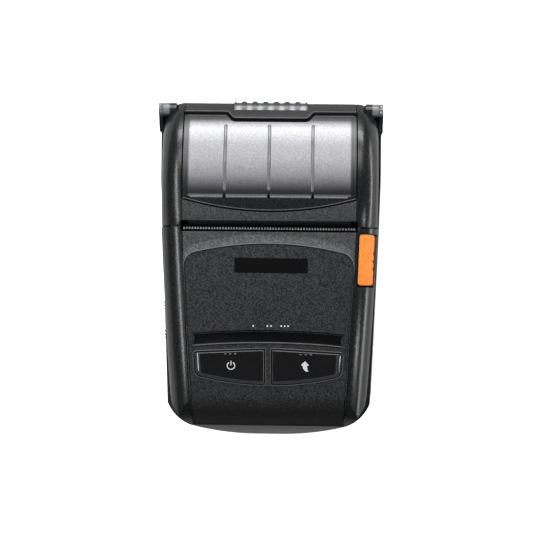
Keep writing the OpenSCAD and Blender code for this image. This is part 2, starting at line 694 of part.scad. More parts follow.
module tear_plan() {
    translate([-30, slot_front_y + 0.15]) square([60, 0.65]);
    for (i = [0:57]) translate([-29.4 + i * tear_pitch, slot_front_y + 0.7]) polygon([[0, 0],
        [tear_pitch / 2, 0.6], [tear_pitch, 0]]);
}
module head_sink() color("#b9bdbf") {
    block(-head_half, head_half, head_y - head_t - sink_t, head_y - head_t, platen_z - 6.8, platen_z + 2.7);
    x_rod(-plate_out, plate_out, head_y - head_t - 1.7, head_pivot_z, head_pivot_r);
}
module head_plate() color("#e6e2d4") block(-head_half + 0.5, head_half - 0.5, head_y - head_t, head_y,
    platen_z - 4.6, platen_z + 2.4);
module head_springs() color("#b5b7b8") for (x = [-20, 0, 20]) translate([x, 0, platen_z - 0.2]) spring();
module spring() {
    y1 = head_y - head_t - sink_t - 0.45;
    y0 = mech_wall_y + 1;
    for (i = [0:7]) translate([0, y0 + 0.35 + i * (y1 - y0 - 0.7) / 7, 0]) rotate([90, 0, 0]) spring_ring();
    translate([0, y1, 0]) rotate([90, 0, 0]) cylinder(r = 1.2, h = y1 - y0, $fn = 24);
}
module spring_ring() rotate_extrude($fn = 32) translate([1.5, 0]) circle(0.35, $fn = 12);
module feed_motor() color("#9a9ea0") left() {
    x_rod(16, plate_in - 0.8, pinion_y, pinion_z, motor_r);
    x_rod(plate_in - 1, plate_in, pinion_y, pinion_z, 3);
    block(plate_in - 1, plate_in, pinion_y - 1, pinion_y + 1, pinion_z + 2, pinion_z + 9);
}
module motor_pinion() color("#c9a24a") {
    left() gear(pinion_teeth, gear_x2, gear_t, pinion_y, pinion_z, pinion_turn);
    left() x_rod(plate_in + 0.1, gear_x2 + gear_t, pinion_y, pinion_z, 1);
}
module idler_gear() color("#e3dfd2") left() difference() {
    union() {
        gear(idler_small_teeth, gear_x, gear_t + 0.2, idler_y, idler_z, idler_turn);
        gear(idler_large_teeth, gear_x2, gear_t, idler_y, idler_z, idler_turn2);
    }
    x_rod(0, 60, idler_y, idler_z, 1 + run_gap);
}
module idler_post() color("#b5b7b8") left() {
    x_rod(plate_out, gear_x2 + gear_t + 0.3, idler_y, idler_z, 1);
    x_rod(gear_x2 + gear_t + 0.1, gear_x2 + gear_t + 0.5, idler_y, idler_z, 1.6);
    x_rod(plate_out, gear_x - 0.1, idler_y, idler_z, 2);
}

// Paper bay and roll
module paper_bay() color("#303335") difference() {
    union() {
        side_prism(-bay_half - bay_t, bay_half + bay_t) difference() {
            translate([roll_y, roll_z]) circle(bay_r + bay_t, $fn = 180);
            translate([roll_y, roll_z]) circle(bay_r, $fn = 180);
        }
        sides() side_prism(bay_half, bay_half + bay_t) translate([roll_y, roll_z]) circle(bay_r + bay_t,
            $fn = 180);
    }
    block(-60, 60, 0, 80, bay_top_z, 80);
    block(-60, 60, roll_y, 80, bay_rear_z, 80);
    block(-60, 60, 0, 80, -10, wall);
    block(-bay_half, bay_half, roll_y - 9, roll_y + 9, -10, 10);
}
module paper_roll() color("#f2f0ea") difference() {
    x_rod(-paper_w / 2, paper_w / 2, roll_y, roll_z, roll_r);
    x_rod(-60, 60, roll_y, roll_z, core_d / 2);
}
module roll_core() color("#b89b72") difference() {
    x_rod(-paper_w / 2, paper_w / 2, roll_y, roll_z, core_d / 2);
    x_rod(-60, 60, roll_y, roll_z, core_bore / 2);
}

// Boards, sockets and battery
module main_board() color("#2f5d43") difference() {
    translate([0, 0, board_z]) linear_extrude(board_t) polygon([[-28.6, board_y0], [28.6, board_y0],
        [28.6, board_y1], [-28.6, board_y1], [-28.6, usb_y + 4.6], [-34, usb_y + 4.6], [-34, jack_y - 4.75],
        [-28.6, jack_y - 4.75]]);
    for (p = board_posts) sides() translate([p[0], p[1], board_z - 5]) cylinder(r = 0.9, h = 10, $fn = 24);
}
module board_chips() color("#1f2123") {
    block(-7, 7, board_y0 + 17, board_y0 + 31, board_top, board_top + 1.4);
    block(11, 21, board_y0 + 20, board_y0 + 30, board_top, board_top + 1.2);
    block(-6, 14, board_y1 - 5, board_y1 - 1, board_top, board_top + 3);
    block(-20, -12, board_y0 + 8, board_y0 + 16, board_top, board_top + 2.5);
}
module usb_socket() color("#b9bdbf") left() base_tapered() difference() {
    block(29, half_w - port_t - 0.6, usb_y - 3.9, usb_y + 3.9, board_top, board_top + 4);
    block(31, 60, usb_y - 3.4, usb_y + 3.4, board_top + 0.5, board_top + 3.5);
}
module dc_jack() color("#1f2123") left() base_tapered() difference() {
    block(28, half_w - port_t - 0.6, jack_y - 3.55, jack_y + 3.55, board_top, board_top + 6.4);
    x_rod(31, 60, jack_y, board_top + 3.2, 2.4);
}
module port_cover() color("#1d1e20") left() base_tapered() {
    difference() {
        block(half_w - port_t, half_w, port_y0, port_y1, port_z0, port_z1);
        translate([0, 90, 0]) rotate([90, 0, 0]) linear_extrude(200) side_cut();
    }
    translate([half_w - port_t / 2 - 0.1, port_y1, port_z0]) rotate([90, 0, 0])
        cylinder(r = port_t / 2 - 0.1, h = port_y1 - port_y0, $fn = 24);
}
module battery_pack() color("#26282a") difference() {
    block(-battery_w / 2, battery_w / 2, battery_y0, battery_y1, battery_z, battery_z + battery_h);
    block(-4.4, 4.4, battery_y1 - 1.2, battery_y1 + 1, wall - 0.1, wall + 1.6);
}
module battery_contacts() color("#c9a24a") block(-6, 6, battery_y0 + 0.7, battery_y0 + 3.9,
    battery_z + battery_h, board_z);
module battery_latch() color("#3a3c3d") {
    block(-7, 7, battery_y1 + 2, battery_y1 + 7.3, battery_z, wall + 0.1);
    block(-8.6, 8.6, battery_y1 + 1.9, battery_y1 + 7.9, wall + 0.05, wall + 1.3);
    block(-4, 4, battery_y1 - 0.8, battery_y1 + 2, wall + 0.05, wall + 1.3);
}

// Screws
module case_screws() color("#9a9ea0") for (p = case_posts) sides() translate([p[0], p[1], 0]) screw(1.3,
    3, 2, 1.05, case_screw_z);
module board_screws() color("#9a9ea0") for (p = board_posts) sides() translate([p[0], p[1], board_top])
    mirror([0, 0, 1]) screw(-0.9, 0, 1.7, 0.75, 3);
module mech_screws() color("#9a9ea0") for (p = mech_posts) sides() translate([p[0], p[1], mech_z + 1.2])
    mirror([0, 0, 1]) screw(-0.9, 0, 1.8, 0.95, 6);
module screw(z0, z1, head_r, r, z2) {
    translate([0, 0, z0]) cylinder(r = head_r, h = z1 - z0, $fn = 32);
    translate([0, 0, z1 - 0.1]) cylinder(r = r, h = z2 - z1 + 0.1, $fn = 24);
}

lower_case();
upper_case();
control_panel();
badge_plate();
led_lens();
power_button();
feed_button();
panel_board();
tact_switches();
status_leds();
open_lever();
lever_pin();
lid_frame();
lid_window();
lid_rear_bar();
lid_liner();
hinge_pins();
platen_roller();
platen_shaft();
platen_bushes();
platen_gear();
mech_frame();
tear_bar();
head_sink();
head_plate();
head_springs();
feed_motor();
motor_pinion();
idler_gear();
idler_post();
paper_bay();
paper_roll();
roll_core();
main_board();
board_chips();
usb_socket();
dc_jack();
port_cover();
battery_pack();
battery_contacts();
battery_latch();
case_screws();
board_screws();
mech_screws();
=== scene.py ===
# %% [markdown]
# A portable receipt printer, dressed for its looks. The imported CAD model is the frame: every solid
# keeps its place and shape. This script gives each solid a material and lays fine pieces on it,
# such as edge lines, grooves, key caps and teeth, and it sets up the light and the camera.

# %% The frame
import math
import bpy
import bmesh
import numpy as np
from mathutils import Matrix, Vector


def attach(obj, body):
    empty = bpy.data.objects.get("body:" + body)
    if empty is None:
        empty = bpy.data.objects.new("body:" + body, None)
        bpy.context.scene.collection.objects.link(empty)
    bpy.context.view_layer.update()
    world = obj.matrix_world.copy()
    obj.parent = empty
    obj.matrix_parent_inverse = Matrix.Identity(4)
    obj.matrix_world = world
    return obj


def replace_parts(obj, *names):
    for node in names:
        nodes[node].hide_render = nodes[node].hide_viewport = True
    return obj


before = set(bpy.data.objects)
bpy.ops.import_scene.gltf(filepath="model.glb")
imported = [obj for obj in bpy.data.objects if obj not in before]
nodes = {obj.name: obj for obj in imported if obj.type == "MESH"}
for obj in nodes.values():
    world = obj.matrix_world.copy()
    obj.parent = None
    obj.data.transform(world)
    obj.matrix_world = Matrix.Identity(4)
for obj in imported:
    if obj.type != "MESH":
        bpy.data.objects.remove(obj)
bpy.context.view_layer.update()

print("solids in the frame:", len(nodes))

# %% [markdown]
# The photograph was taken from straight above, from about 0.6 m. A camera that far away still sees
# a little of the sides, so it is a real perspective camera. It stands a little to the right of the
# object and is turned by about half a degree, as the outline in the photograph shows.

# %% The camera
CAMERA_AT = Vector((0.016, 0.0016, 0.644))
LOOKS_AT = Vector((-0.0012, 0.0016, 0.025))
ROLL = math.radians(0.6)
SENSOR_MM, FRAME_PX = 36, 533
MM_PER_PX, HEIGHT_MM = 0.3729, 644    # size of a pixel on the table, and the camera's height

camera = bpy.data.objects.new("camera", bpy.data.cameras.new("camera"))
bpy.context.scene.collection.objects.link(camera)
bpy.context.scene.camera = camera
camera.data.sensor_width = SENSOR_MM
camera.data.lens = SENSOR_MM / (FRAME_PX * MM_PER_PX / HEIGHT_MM)
camera.data.clip_start, camera.data.clip_end = 0.01, 20
back = (CAMERA_AT - LOOKS_AT).normalized()
right = Vector((-math.sin(ROLL), math.cos(ROLL), 0)).cross(back).normalized()
axes = Matrix((right, back.cross(right), back)).transposed()
camera.matrix_world = Matrix.Translation(CAMERA_AT) @ axes.to_4x4()
print("lens", round(camera.data.lens, 1), "mm")

# %% [markdown]
# Soft studio light. Black plastic shows its form only by what it reflects, so each box stands where
# the photograph has a bright line: two behind the lid for the band over the window, one high on the
# left for the line inside the left rail, one low on the right for the outer edge of the right rail,
# and a small one at the front right for the ends of the keys.

# %% The lamps
def hex_rgb(code):
    """Linear colour of an sRGB hex code: ((c + 0.055) / 1.055) ** 2.4 above 0.04045."""
    c = np.array([int(code[i:i + 2], 16) for i in (1, 3, 5)]) / 255
    return (*np.where(c <= 0.04045, c / 12.92, ((c + 0.055) / 1.055) ** 2.4), 1.0)


def soft_box(name, place, size, watts, target=(0, 0, 0.03)):
    """Rectangular lamp of size (width, height) at place, aimed at target."""
    data = bpy.data.lights.new(name, "AREA")
    data.shape, data.size, data.size_y, data.energy = "RECTANGLE", size[0], size[1], watts
    lamp = bpy.data.objects.new(name, data)
    bpy.context.scene.collection.objects.link(lamp)
    lamp.location = place
    lamp.rotation_mode = "QUATERNION"
    lamp.rotation_quaternion = (Vector(target) - Vector(place)).to_track_quat("-Z", "Y")
    print(name, watts, "W")


soft_box("box_rear", (0.0, 0.42, 0.60), (0.80, 0.20), 2.3)
soft_box("box_rear_low", (0.0, 0.62, 0.36), (0.80, 0.16), 4.6)
soft_box("box_left", (-0.42, -0.05, 0.59), (0.80, 0.06), 3.0)
soft_box("box_right", (0.65, 0.0, 0.08), (0.80, 0.08), 2.2)
soft_box("box_key_right", (0.50, -0.31, 0.46), (0.12, 0.05), 0.5)

# %% [markdown]
# One small function adds a shader node. Each material below is a few calls of it, so the whole
# pattern can be read in one place, from the coordinates to the shader.

# %% Adding nodes
def feed(tree, node, inputs):
    """Fills a node's inputs: a node or an output is linked, anything else is set as the value."""
    for socket, value in dict(inputs).items():
        if isinstance(value, bpy.types.Node):
            value = value.outputs[0]
        if isinstance(value, bpy.types.NodeSocket):
            tree.links.new(value, node.inputs[socket])
        else:
            node.inputs[socket].default_value = value


def add(tree, kind, inputs=(), stops=(), **settings):
    """Adds a shader node with its settings and inputs; stops are a ramp's (place, colour) pairs."""
    node = tree.nodes.new("ShaderNode" + kind)
    for key, value in settings.items():
        setattr(node, key, value)
    feed(tree, node, inputs)
    for k, (place, colour) in enumerate(stops):
        stop = node.color_ramp.elements[k] if k < 2 else node.color_ramp.elements.new(place)
        stop.position, stop.color = place, colour
    return node


# %% [markdown]
# The room. The camera sees white all round, as in the photograph, but the light that the world
# gives to the object is dim, because a white room would wash out the black plastic.

# %% The world
scene = bpy.context.scene
scene.view_settings.view_transform = "Standard"
scene.world = bpy.data.worlds.new("studio")
scene.world.use_nodes = True
tree = scene.world.node_tree
bright = tree.nodes["Background"]
bright.inputs["Color"].default_value = (1, 1, 1, 1)
WORLD_LIGHT = 0.16
dim = add(tree, "Background", {"Color": hex_rgb("#b9bcc0"), "Strength": WORLD_LIGHT})
seen = add(tree, "MixShader", {0: add(tree, "LightPath").outputs["Is Camera Ray"], 1: dim, 2: bright})
tree.links.new(seen.outputs[0], tree.nodes["World Output"].inputs["Surface"])
print("strength of the world's light", WORLD_LIGHT)

# %% [markdown]
# Materials. Each is named for the real one and how its surface was made. All patterns read the
# object's own coordinates, in metres, so 1000 / size gives a pattern its real size in millimetres.

# %% Starting a material
def material(name, code, rough, metal=0.0, **sockets):
    """Principled material; returns it with its tree, shader node and object coordinates."""
    m = bpy.data.materials.new(name)
    m.use_nodes = True
    t = m.node_tree
    shader = t.nodes["Principled BSDF"]
    values = {"Base Color": hex_rgb(code), "Roughness": rough, "Metallic": metal}
    values.update({key.replace("_", " "): value for key, value in sockets.items()})
    feed(t, shader, values)
    print("material", name)
    return m, t, shader, add(t, "TexCoord").outputs["Object"]


# %% [markdown]
# The floor is a sheet of white paper. To the camera it glows a little, so that it is white like the
# backdrop and still keeps the object's shadow. To all other rays it is a pale grey sheet.

# %% The floor
NOISE_LOW, NOISE_HIGH = 0.3, 0.7    # nearly all values of a noise lie between these
NOISE_RANGE = {"From Min": NOISE_LOW, "From Max": NOISE_HIGH}


def two_tones(dark, light):
    """Stops of a ramp from dark to light over the range of a noise."""
    return ((NOISE_LOW, hex_rgb(dark)), (NOISE_HIGH, hex_rgb(light)))


floor = bpy.data.objects.new("floor", bpy.data.meshes.new("floor"))
floor.data.from_pydata([(-3, -3, 0), (3, -3, 0), (3, 3, 0), (-3, 3, 0)], [], [(0, 1, 2, 3)])
scene.collection.objects.link(floor)
floor_m, t, shader, coord = material("studio_paper", "#ffffff", 0.9)
speck = add(t, "TexNoise", {"Vector": coord, "Scale": 1000 / 60, "Detail": 2.0, "Roughness": 0.5})
feed(t, shader, {
    "Base Color": add(t, "ValToRGB", {0: speck}, two_tones("#fdfdfd", "#ffffff")),
    "Emission Color": (1, 1, 1, 1), "Emission Strength": 0.72})
grey = add(t, "BsdfDiffuse", {"Color": hex_rgb("#d4d4d4")})
seen = add(t, "MixShader", {0: add(t, "LightPath").outputs["Is Camera Ray"], 1: grey, 2: shader})
t.links.new(seen.outputs[0], t.nodes["Material Output"].inputs["Surface"])
floor.data.materials.append(floor_m)

# %% [markdown]
# Most of the printer is moulded plastic. A mould's surface has a fine grain, which comes out as tiny
# changes in height and tone, and its gloss drifts slowly from place to place. The first function
# below makes that drift, and the second a plain moulded plastic with both.

# %% Plain moulded plastic
DRIFT_MM = 14.0    # distance over which the gloss of a moulding drifts


def drifting_gloss(t, coord, low, high):
    """Roughness that wanders between low and high over DRIFT_MM."""
    slow = add(t, "TexNoise", {"Vector": coord, "Scale": 1000 / DRIFT_MM, "Detail": 2.0, "Roughness": 0.5})
    return add(t, "MapRange", {"Value": slow, **NOISE_RANGE, "To Min": low, "To Max": high})


def moulded(name, dark, light, rough, grain_mm, depth_mm, strength=0.6, ior=1.53, spec=0.5):
    """Moulded plastic: grain of grain_mm between two tones, as a bump of depth_mm."""
    m, t, shader, coord = material(name, dark, rough, IOR=ior, Specular_IOR_Level=spec)
    fine = add(t, "TexNoise", {"Vector": coord, "Scale": 1000 / grain_mm, "Detail": 3.0, "Roughness": 0.6})
    feed(t, shader, {
        "Base Color": add(t, "ValToRGB", {0: fine}, two_tones(dark, light)),
        "Roughness": drifting_gloss(t, coord, rough - 0.04, rough + 0.05),
        "Normal": add(t, "Bump", {"Height": fine, "Strength": strength, "Distance": depth_mm / 1000})})
    return m


# %% [markdown]
# The panel, the field round it and the lid's bezel have a coarse spark-eroded surface: in the
# photograph it is a speckle of grey on near black. A real spark grain is about 0.1 mm; it is drawn
# at 0.34 mm, about one pixel, because finer it wouldn't show. The speckle fades out where the nose
# turns down, as painted shade, since the nose faces away from the lamps.

# %% Spark-eroded grain
GRAIN_MM = 0.34
NOSE_SHADE_FROM, NOSE_SHADE_TO = -0.0515, -0.0435    # along Y: full painted shade, and full speckle
NOSE_SHADE_LEFT = 0.12                              # share of the speckle that stays on the nose


def grain_map(t, coord, dark, light, skew):
    """Speckle: one random tone per cell, raised to skew so that few cells are bright; faded on the nose as
    painted shade.

    Returns the colour and the tone, which serves as the height of the bump.
    """
    cells = add(t, "TexVoronoi", {"Vector": coord, "Scale": 1000 / GRAIN_MM})
    tone = add(t, "SeparateColor", {"Color": cells.outputs["Color"]})
    nose_shade = add(t, "MapRange", {
        "Value": add(t, "SeparateXYZ", {"Vector": coord}).outputs[1], "From Min": NOSE_SHADE_FROM,
        "From Max": NOSE_SHADE_TO, "To Min": NOSE_SHADE_LEFT, "To Max": 1.0}, interpolation_type="SMOOTHSTEP")
    few = add(t, "Math", {0: tone, 1: skew}, operation="POWER")
    speck = add(t, "Math", {0: few, 1: nose_shade}, operation="MULTIPLY")
    both = add(t, "Mix", {0: speck, 6: hex_rgb(dark), 7: hex_rgb(light)}, data_type="RGBA")
    return both.outputs[2], tone


def spark_textured(name, dark, light, rough, spec, skew):
    """Plastic with a spark-eroded surface: grey specks on a darker ground, over a fine bump."""
    m, t, shader, coord = material(name, dark, rough, IOR=1.53, Specular_IOR_Level=spec)
    colour, _ = grain_map(t, coord, dark, light, skew)
    grain = add(t, "TexNoise", {"Vector": coord, "Scale": 1000 / GRAIN_MM, "Detail": 1.0, "Roughness": 0.5})
    feed(t, shader, {
        "Base Color": colour, "Roughness": drifting_gloss(t, coord, rough - 0.04, rough + 0.05),
        "Normal": add(t, "Bump", {"Height": grain, "Strength": 0.7, "Distance": 0.03 / 1000})})
    return m


# %% [markdown]
# Four finishes use that surface. They differ in how pale the specks are, how many are bright and
# how much light comes back from the ground between them, which is all that tells a surface in the
# shade from one that faces the light.

# %% Spark-textured plastics
# The control panel: dull, dark, with a fine grey speckle.
panel_grain = spark_textured("ABS_spark_textured_panel", "#121213", "#3f4042", 0.6, 0.15, skew=1.2)
# The ramp behind the panel: the same texture, paler because it faces the light.
ramp_grain = spark_textured("ABS_spark_textured_ramp", "#2b2b2c", "#606163", 0.5, 0.3, skew=1.3)
# The finger lip under the window: in shade, so almost black.
lip_grain = spark_textured("ABS_spark_textured_lip", "#08080a", "#232426", 0.6, 0.15, skew=1.6)
# The open lever: signal orange with a few darker specks.
orange = spark_textured("ABS_orange_moulded", "#f5953a", "#ea6a18", 0.5, 0.3, skew=2.5)

# %% [markdown]
# Black ABS looks different by how its mould was finished and how much it was handled. The two edge
# finishes are painted highlights, far from black on purpose: a real edge of 0.1 mm mirrors a lamp
# on part of a pixel, and a paler bead shows that at any sampling.

# %% Plain black plastics
# Edges that catch the light: painted highlights, thin grey lines along the edges.
crest_painted_highlight = moulded("ABS_crest_painted_highlight", "#848587", "#8e8f91", 0.34, 0.5, 0.01, 0.3)
edge_painted_highlight = moulded("ABS_edge_painted_highlight", "#3c3d3f", "#505153", 0.34, 0.5, 0.01, 0.3)
# Satin black: soft, broad reflections.
satin = moulded("ABS_satin_moulded", "#151617", "#1e1f20", 0.34, 0.30, 0.010, 0.35)
# Inner parts: plain and dull, so that they stay in the dark.
dark_abs = moulded("ABS_plain_inner", "#0c0c0d", "#131314", 0.6, 0.5, 0.02, 0.4, spec=0.3)
# Seams: no light gets out of a groove.
groove_black = moulded("ABS_groove_shadow", "#030303", "#060606", 0.9, 0.5, 0.01, 0.2, spec=0.05)

# %% [markdown]
# Two solids carry two finishes each: the upper case and the lid frame have satin rails at the sides
# and texture between them. The border is a line in the plan, so a mask worked out from x and y picks
# the finish, and no solid has to be cut. A second mask paints a pale highlight on the hinge ears,
# where their round tops mirror the lamp behind.

# %% Two finishes on one solid
FIELD_HALF_MM, LID_FIELD_HALF_MM = 30.35, 30.25         # from the middle to the rails
RAIL_TAPER = math.tan(math.radians(2.9))                # the rails turn in towards the nose
TAPER_FROM_Y = 12.5
EAR_OUT, EAR_REAR, EAR_HIGH = 0.0356, 0.0550, 0.0298    # the ears lie beyond these, in metres
EAR_SLOPE = 1500.0                                      # the painted highlight fades in over 0.7 mm


def product(t, *factors):
    """Product of several values, as a chain of nodes."""
    value = factors[0]
    for factor in factors[1:]:
        value = add(t, "Math", {0: value, 1: factor}, operation="MULTIPLY")
    return value


def step_up(t, value, start, slope):
    """0 below start, then rising by slope per metre up to 1."""
    above = add(t, "Math", {0: value, 1: start}, operation="SUBTRACT")
    return add(t, "Math", {0: above, 1: slope}, operation="MULTIPLY", use_clamp=True)


def painted_ear_highlight(t, coord, colour):
    """The colour with a pale painted highlight where |x| > EAR_OUT, y > EAR_REAR and z > EAR_HIGH."""
    xyz = add(t, "SeparateXYZ", {"Vector": coord}).outputs
    far_out = step_up(t, add(t, "Math", {0: xyz[0]}, operation="ABSOLUTE"), EAR_OUT, EAR_SLOPE)
    far_back = step_up(t, xyz[1], EAR_REAR, EAR_SLOPE)
    mask = product(t, far_out, far_back, step_up(t, xyz[2], EAR_HIGH, EAR_SLOPE))
    return add(t, "Mix", {0: mask, 6: colour, 7: hex_rgb("#727476")}, data_type="RGBA").outputs[2]


def two_finish(name, edge):
    """Satin rails and a textured field; edge(t, y) gives half the field's width at y, in metres."""
    m, t, shader, coord = material(name, "#1b1c1d", 0.45, IOR=1.53, Specular_IOR_Level=0.45)
    xyz = add(t, "SeparateXYZ", {"Vector": coord})
    across = add(t, "Math", {0: xyz.outputs[0]}, operation="ABSOLUTE")
    mask = add(t, "Math", {0: across, 1: edge(t, xyz.outputs[1])}, operation="LESS_THAN")
    rail_colour, _ = grain_map(t, coord, "#0f1011", "#232425", 1.6)
    field_colour, height = grain_map(t, coord, "#1d1d1e", "#4a4b4d", 1.2)
    both = add(t, "Mix", {0: mask, 6: rail_colour, 7: field_colour}, data_type="RGBA")
    duller = add(t, "Math", {0: mask, 1: 0.32}, operation="MULTIPLY")
    depth = add(t, "Math", {0: product(t, mask, 0.94), 1: 0.06}, operation="ADD")
    bump = {"Height": product(t, height, depth), "Strength": 0.8, "Distance": 0.05 / 1000}
    feed(t, shader, {
        "Base Color": painted_ear_highlight(t, coord, both.outputs[2]),
        "Roughness": add(t, "Math", {0: drifting_gloss(t, coord, 0.23, 0.27), 1: duller}, operation="ADD"),
        "Normal": add(t, "Bump", bump)})
    return m


def tapered_field(t, y):
    """Half width of the field on the upper case: FIELD_HALF_MM + (y - TAPER_FROM_Y) RAIL_TAPER."""
    along = add(t, "Math", {0: y, 1: TAPER_FROM_Y / 1000}, operation="SUBTRACT")
    turned_in = add(t, "Math", {0: along, 1: RAIL_TAPER}, operation="MULTIPLY")
    return add(t, "Math", {0: turned_in, 1: FIELD_HALF_MM / 1000}, operation="ADD")


# %% [markdown]
# The case and the lid share that recipe and differ in the border alone, which tapers on the case
# and runs straight on the lid. The lower case is one finish, glossier at a low angle, because the
# photograph sees its walls almost edge-on as a soft grey rim.

# %% Case and lid
# Glossier at the rails, which draw long soft lines, and a dull speckle between them.
case_two = two_finish("ABS_satin_rails_and_textured_field", tapered_field)
lid_two = two_finish("ABS_satin_rails_and_textured_bezel", lambda t, y: LID_FIELD_HALF_MM / 1000)


def lower_case_material():
    """Satin black with a strong reflection at grazing angles, and a painted highlight on the hinge ears."""
    m, t, shader, coord = material(
        "ABS_satin_lower_case", "#141516", 0.24, IOR=1.53, Specular_IOR_Level=0.8)
    fine = add(t, "TexNoise", {"Vector": coord, "Scale": 1000 / 0.30, "Detail": 3.0, "Roughness": 0.6})
    ramp = add(t, "ValToRGB", {0: fine}, two_tones("#141516", "#1b1c1d"))
    feed(t, shader, {
        "Base Color": painted_ear_highlight(t, coord, ramp.outputs[0]),
        "Roughness": drifting_gloss(t, coord, 0.20, 0.29),
        "Normal": add(t, "Bump", {"Height": fine, "Strength": 0.3, "Distance": 0.006 / 1000})})
    return m


base_abs = lower_case_material()

# %% [markdown]
# The window is smoked polycarbonate, frosted inside. Its tone along y is painted light and shade:
# pale at the rear, where the paper roll behind it faces the lamps, and dark towards the front, with
# a painted shadow under the rear bar and a painted bright line at the front edge. Its sides lie in the
# shade of the rails. A ramp along y with its stops in millimetres gives that, times a fine speckle.

# %% Window
# Painted light and shade of the window: tone at each y in millimetres.
WINDOW_PAINTED_LIGHT = (
    (25.9, "#646567"), (26.5, "#646567"), (26.9, "#1c1c1e"), (28.0, "#28282a"), (29.4, "#4e4e51"),
    (31.0, "#6e6e72"), (33.4, "#8e8e93"), (36.5, "#9c9ca1"), (44.0, "#a6a6aa"), (47.4, "#bbbbbf"),
    (50.0, "#d0d0d4"), (51.7, "#a8a8ac"), (53.2, "#2e2e30"), (54.2, "#0d0d0e"))
SHADE_FROM, SHADE_SLOPE, SHADE_DEPTH = 0.0280, 1700.0, 0.90    # the shade at the window's sides
FROST_MM = 0.6


def window_material():
    """Painted light and shade along y, times a frost of FROST_MM, times the shade at |x| > SHADE_FROM."""
    m, t, shader, coord = material(
        "polycarbonate_frosted_window", "#8d8e92", 0.36, IOR=1.58, Transmission_Weight=0.25)
    xyz = add(t, "SeparateXYZ", {"Vector": coord}).outputs
    first, length = WINDOW_PAINTED_LIGHT[0][0], WINDOW_PAINTED_LIGHT[-1][0] - WINDOW_PAINTED_LIGHT[0][0]
    along = add(t, "Math", {0: xyz[1], 1: first / 1000}, operation="SUBTRACT")
    place = add(t, "Math", {0: along, 1: 1000 / length}, operation="MULTIPLY")
    stops = [((y - first) / length, hex_rgb(code)) for y, code in WINDOW_PAINTED_LIGHT]
    ramp = add(t, "ValToRGB", {0: place}, stops)
    frost = add(t, "TexNoise", {"Vector": coord, "Scale": 1000 / FROST_MM, "Detail": 1.0, "Roughness": 0.6})
    speck = add(t, "MapRange", {"Value": frost, **NOISE_RANGE, "To Min": 0.80, "To Max": 1.20})
    side = step_up(t, add(t, "Math", {0: xyz[0]}, operation="ABSOLUTE"), SHADE_FROM, SHADE_SLOPE)
    lit = add(t, "Math", {0: 1.0, 1: product(t, side, SHADE_DEPTH)}, operation="SUBTRACT")
    tone = add(t, "Mix", {0: 1.0, 6: ramp, 7: product(t, speck, lit)}, data_type="RGBA",
        blend_type="MULTIPLY")
    feed(t, shader, {
        "Base Color": tone.outputs[2],
        "Normal": add(t, "Bump", {"Height": frost, "Strength": 0.5, "Distance": 0.03 / 1000})})
    return m


window_m = window_material()
# The window's ribs and front edge: clear of frost, so they look like grey glass.
rib_m = moulded("polycarbonate_window_rib", "#5a5a5e", "#6c6c70", 0.22, 0.6, 0.01, 0.3, ior=1.58)

# %% [markdown]
# The grip's grey on the lid's rear bar is painted light: a pale painted highlight in the valleys
# between its bars, and painted shade behind the edge. A cosine across x follows the bars' spacing.

# %% Grip: painted highlight and shade
GRIP_PITCH_MM = 3.78
GRIP_SHADE_FROM, GRIP_SHADE_TO, GRIP_SHADE_LEFT = 0.0580, 0.0590, 0.12    # along Y, and the tone left in the painted shade


def grip_painted_light_material():
    """Tone = noise + 0.3 cos(2 pi x / pitch) between two greys, a painted highlight, and painted shade at
    the rear edge.
    """
    m, t, shader, coord = material("ABS_grip_painted_highlight_and_shade", "#5d5f62", 0.45, IOR=1.53)
    xyz = add(t, "SeparateXYZ", {"Vector": coord}).outputs
    turn = add(t, "Math", {0: xyz[0], 1: 2 * math.pi / (GRIP_PITCH_MM / 1000)}, operation="MULTIPLY")
    wave = add(t, "Math", {0: turn}, operation="COSINE")
    fine = add(t, "TexNoise", {"Vector": coord, "Scale": 1000 / 0.5, "Detail": 2.0, "Roughness": 0.5})
    tone = add(t, "Math", {0: product(t, wave, 0.30), 1: fine}, operation="ADD")
    ramp = add(t, "ValToRGB", {0: tone}, two_tones("#6c6d6f", "#a2a3a5"))
    rear = add(t, "MapRange", {
        "Value": xyz[1], "From Min": GRIP_SHADE_FROM, "From Max": GRIP_SHADE_TO, "To Min": 1.0,
        "To Max": GRIP_SHADE_LEFT}, interpolation_type="SMOOTHSTEP")
    both = add(t, "Mix", {0: 1.0, 6: ramp, 7: rear}, data_type="RGBA", blend_type="MULTIPLY")
    feed(t, shader, {
        "Base Color": both.outputs[2],
        "Normal": add(t, "Bump", {"Height": fine, "Strength": 0.5, "Distance": 0.02 / 1000})})
    return m


grip_painted_light = grip_painted_light_material()

# %% [markdown]
# Glossy plastics and ink. Each starts from typical values for its kind, such as an IOR of 1.49 for
# acrylic and 1.53 for ABS, and is then matched to the photograph. A glossy black is told by what it
# mirrors, so its roughness says more than its colour.

# %% Glossy plastics and ink
# Bare badge plate: polished acrylic, a clean mirror of the room on black with a trace of haze.
gloss_black, t, shader, coord = material("PMMA_gloss_black", "#0b0b0c", 0.09, IOR=1.49)
haze = add(t, "TexNoise", {"Vector": coord, "Scale": 1000 / 2.0, "Detail": 2.0})
feed(t, shader, {"Base Color": add(t, "ValToRGB", {0: haze}, two_tones("#0b0b0c", "#0c0c0d"))})
# Strip over the status lights: smoked acrylic, black until a light is on behind it.
lens_black = moulded("PMMA_smoked_strip", "#020202", "#050505", 0.34, 0.6, 0.004, 0.3, ior=1.49, spec=0.25)
# Keys: glossy black, which mirrors the lamps, with chamfers painted paler as a painted reflection that
# draws their outline.
key_black = moulded("ABS_high_gloss_key", "#121213", "#171718", 0.12, 1.5, 0.004, 0.25)
key_chamfer_painted_sheen = moulded("ABS_high_gloss_key_chamfer_painted_sheen", "#343537", "#3c3d3f", 0.10, 1.5, 0.004, 0.25)
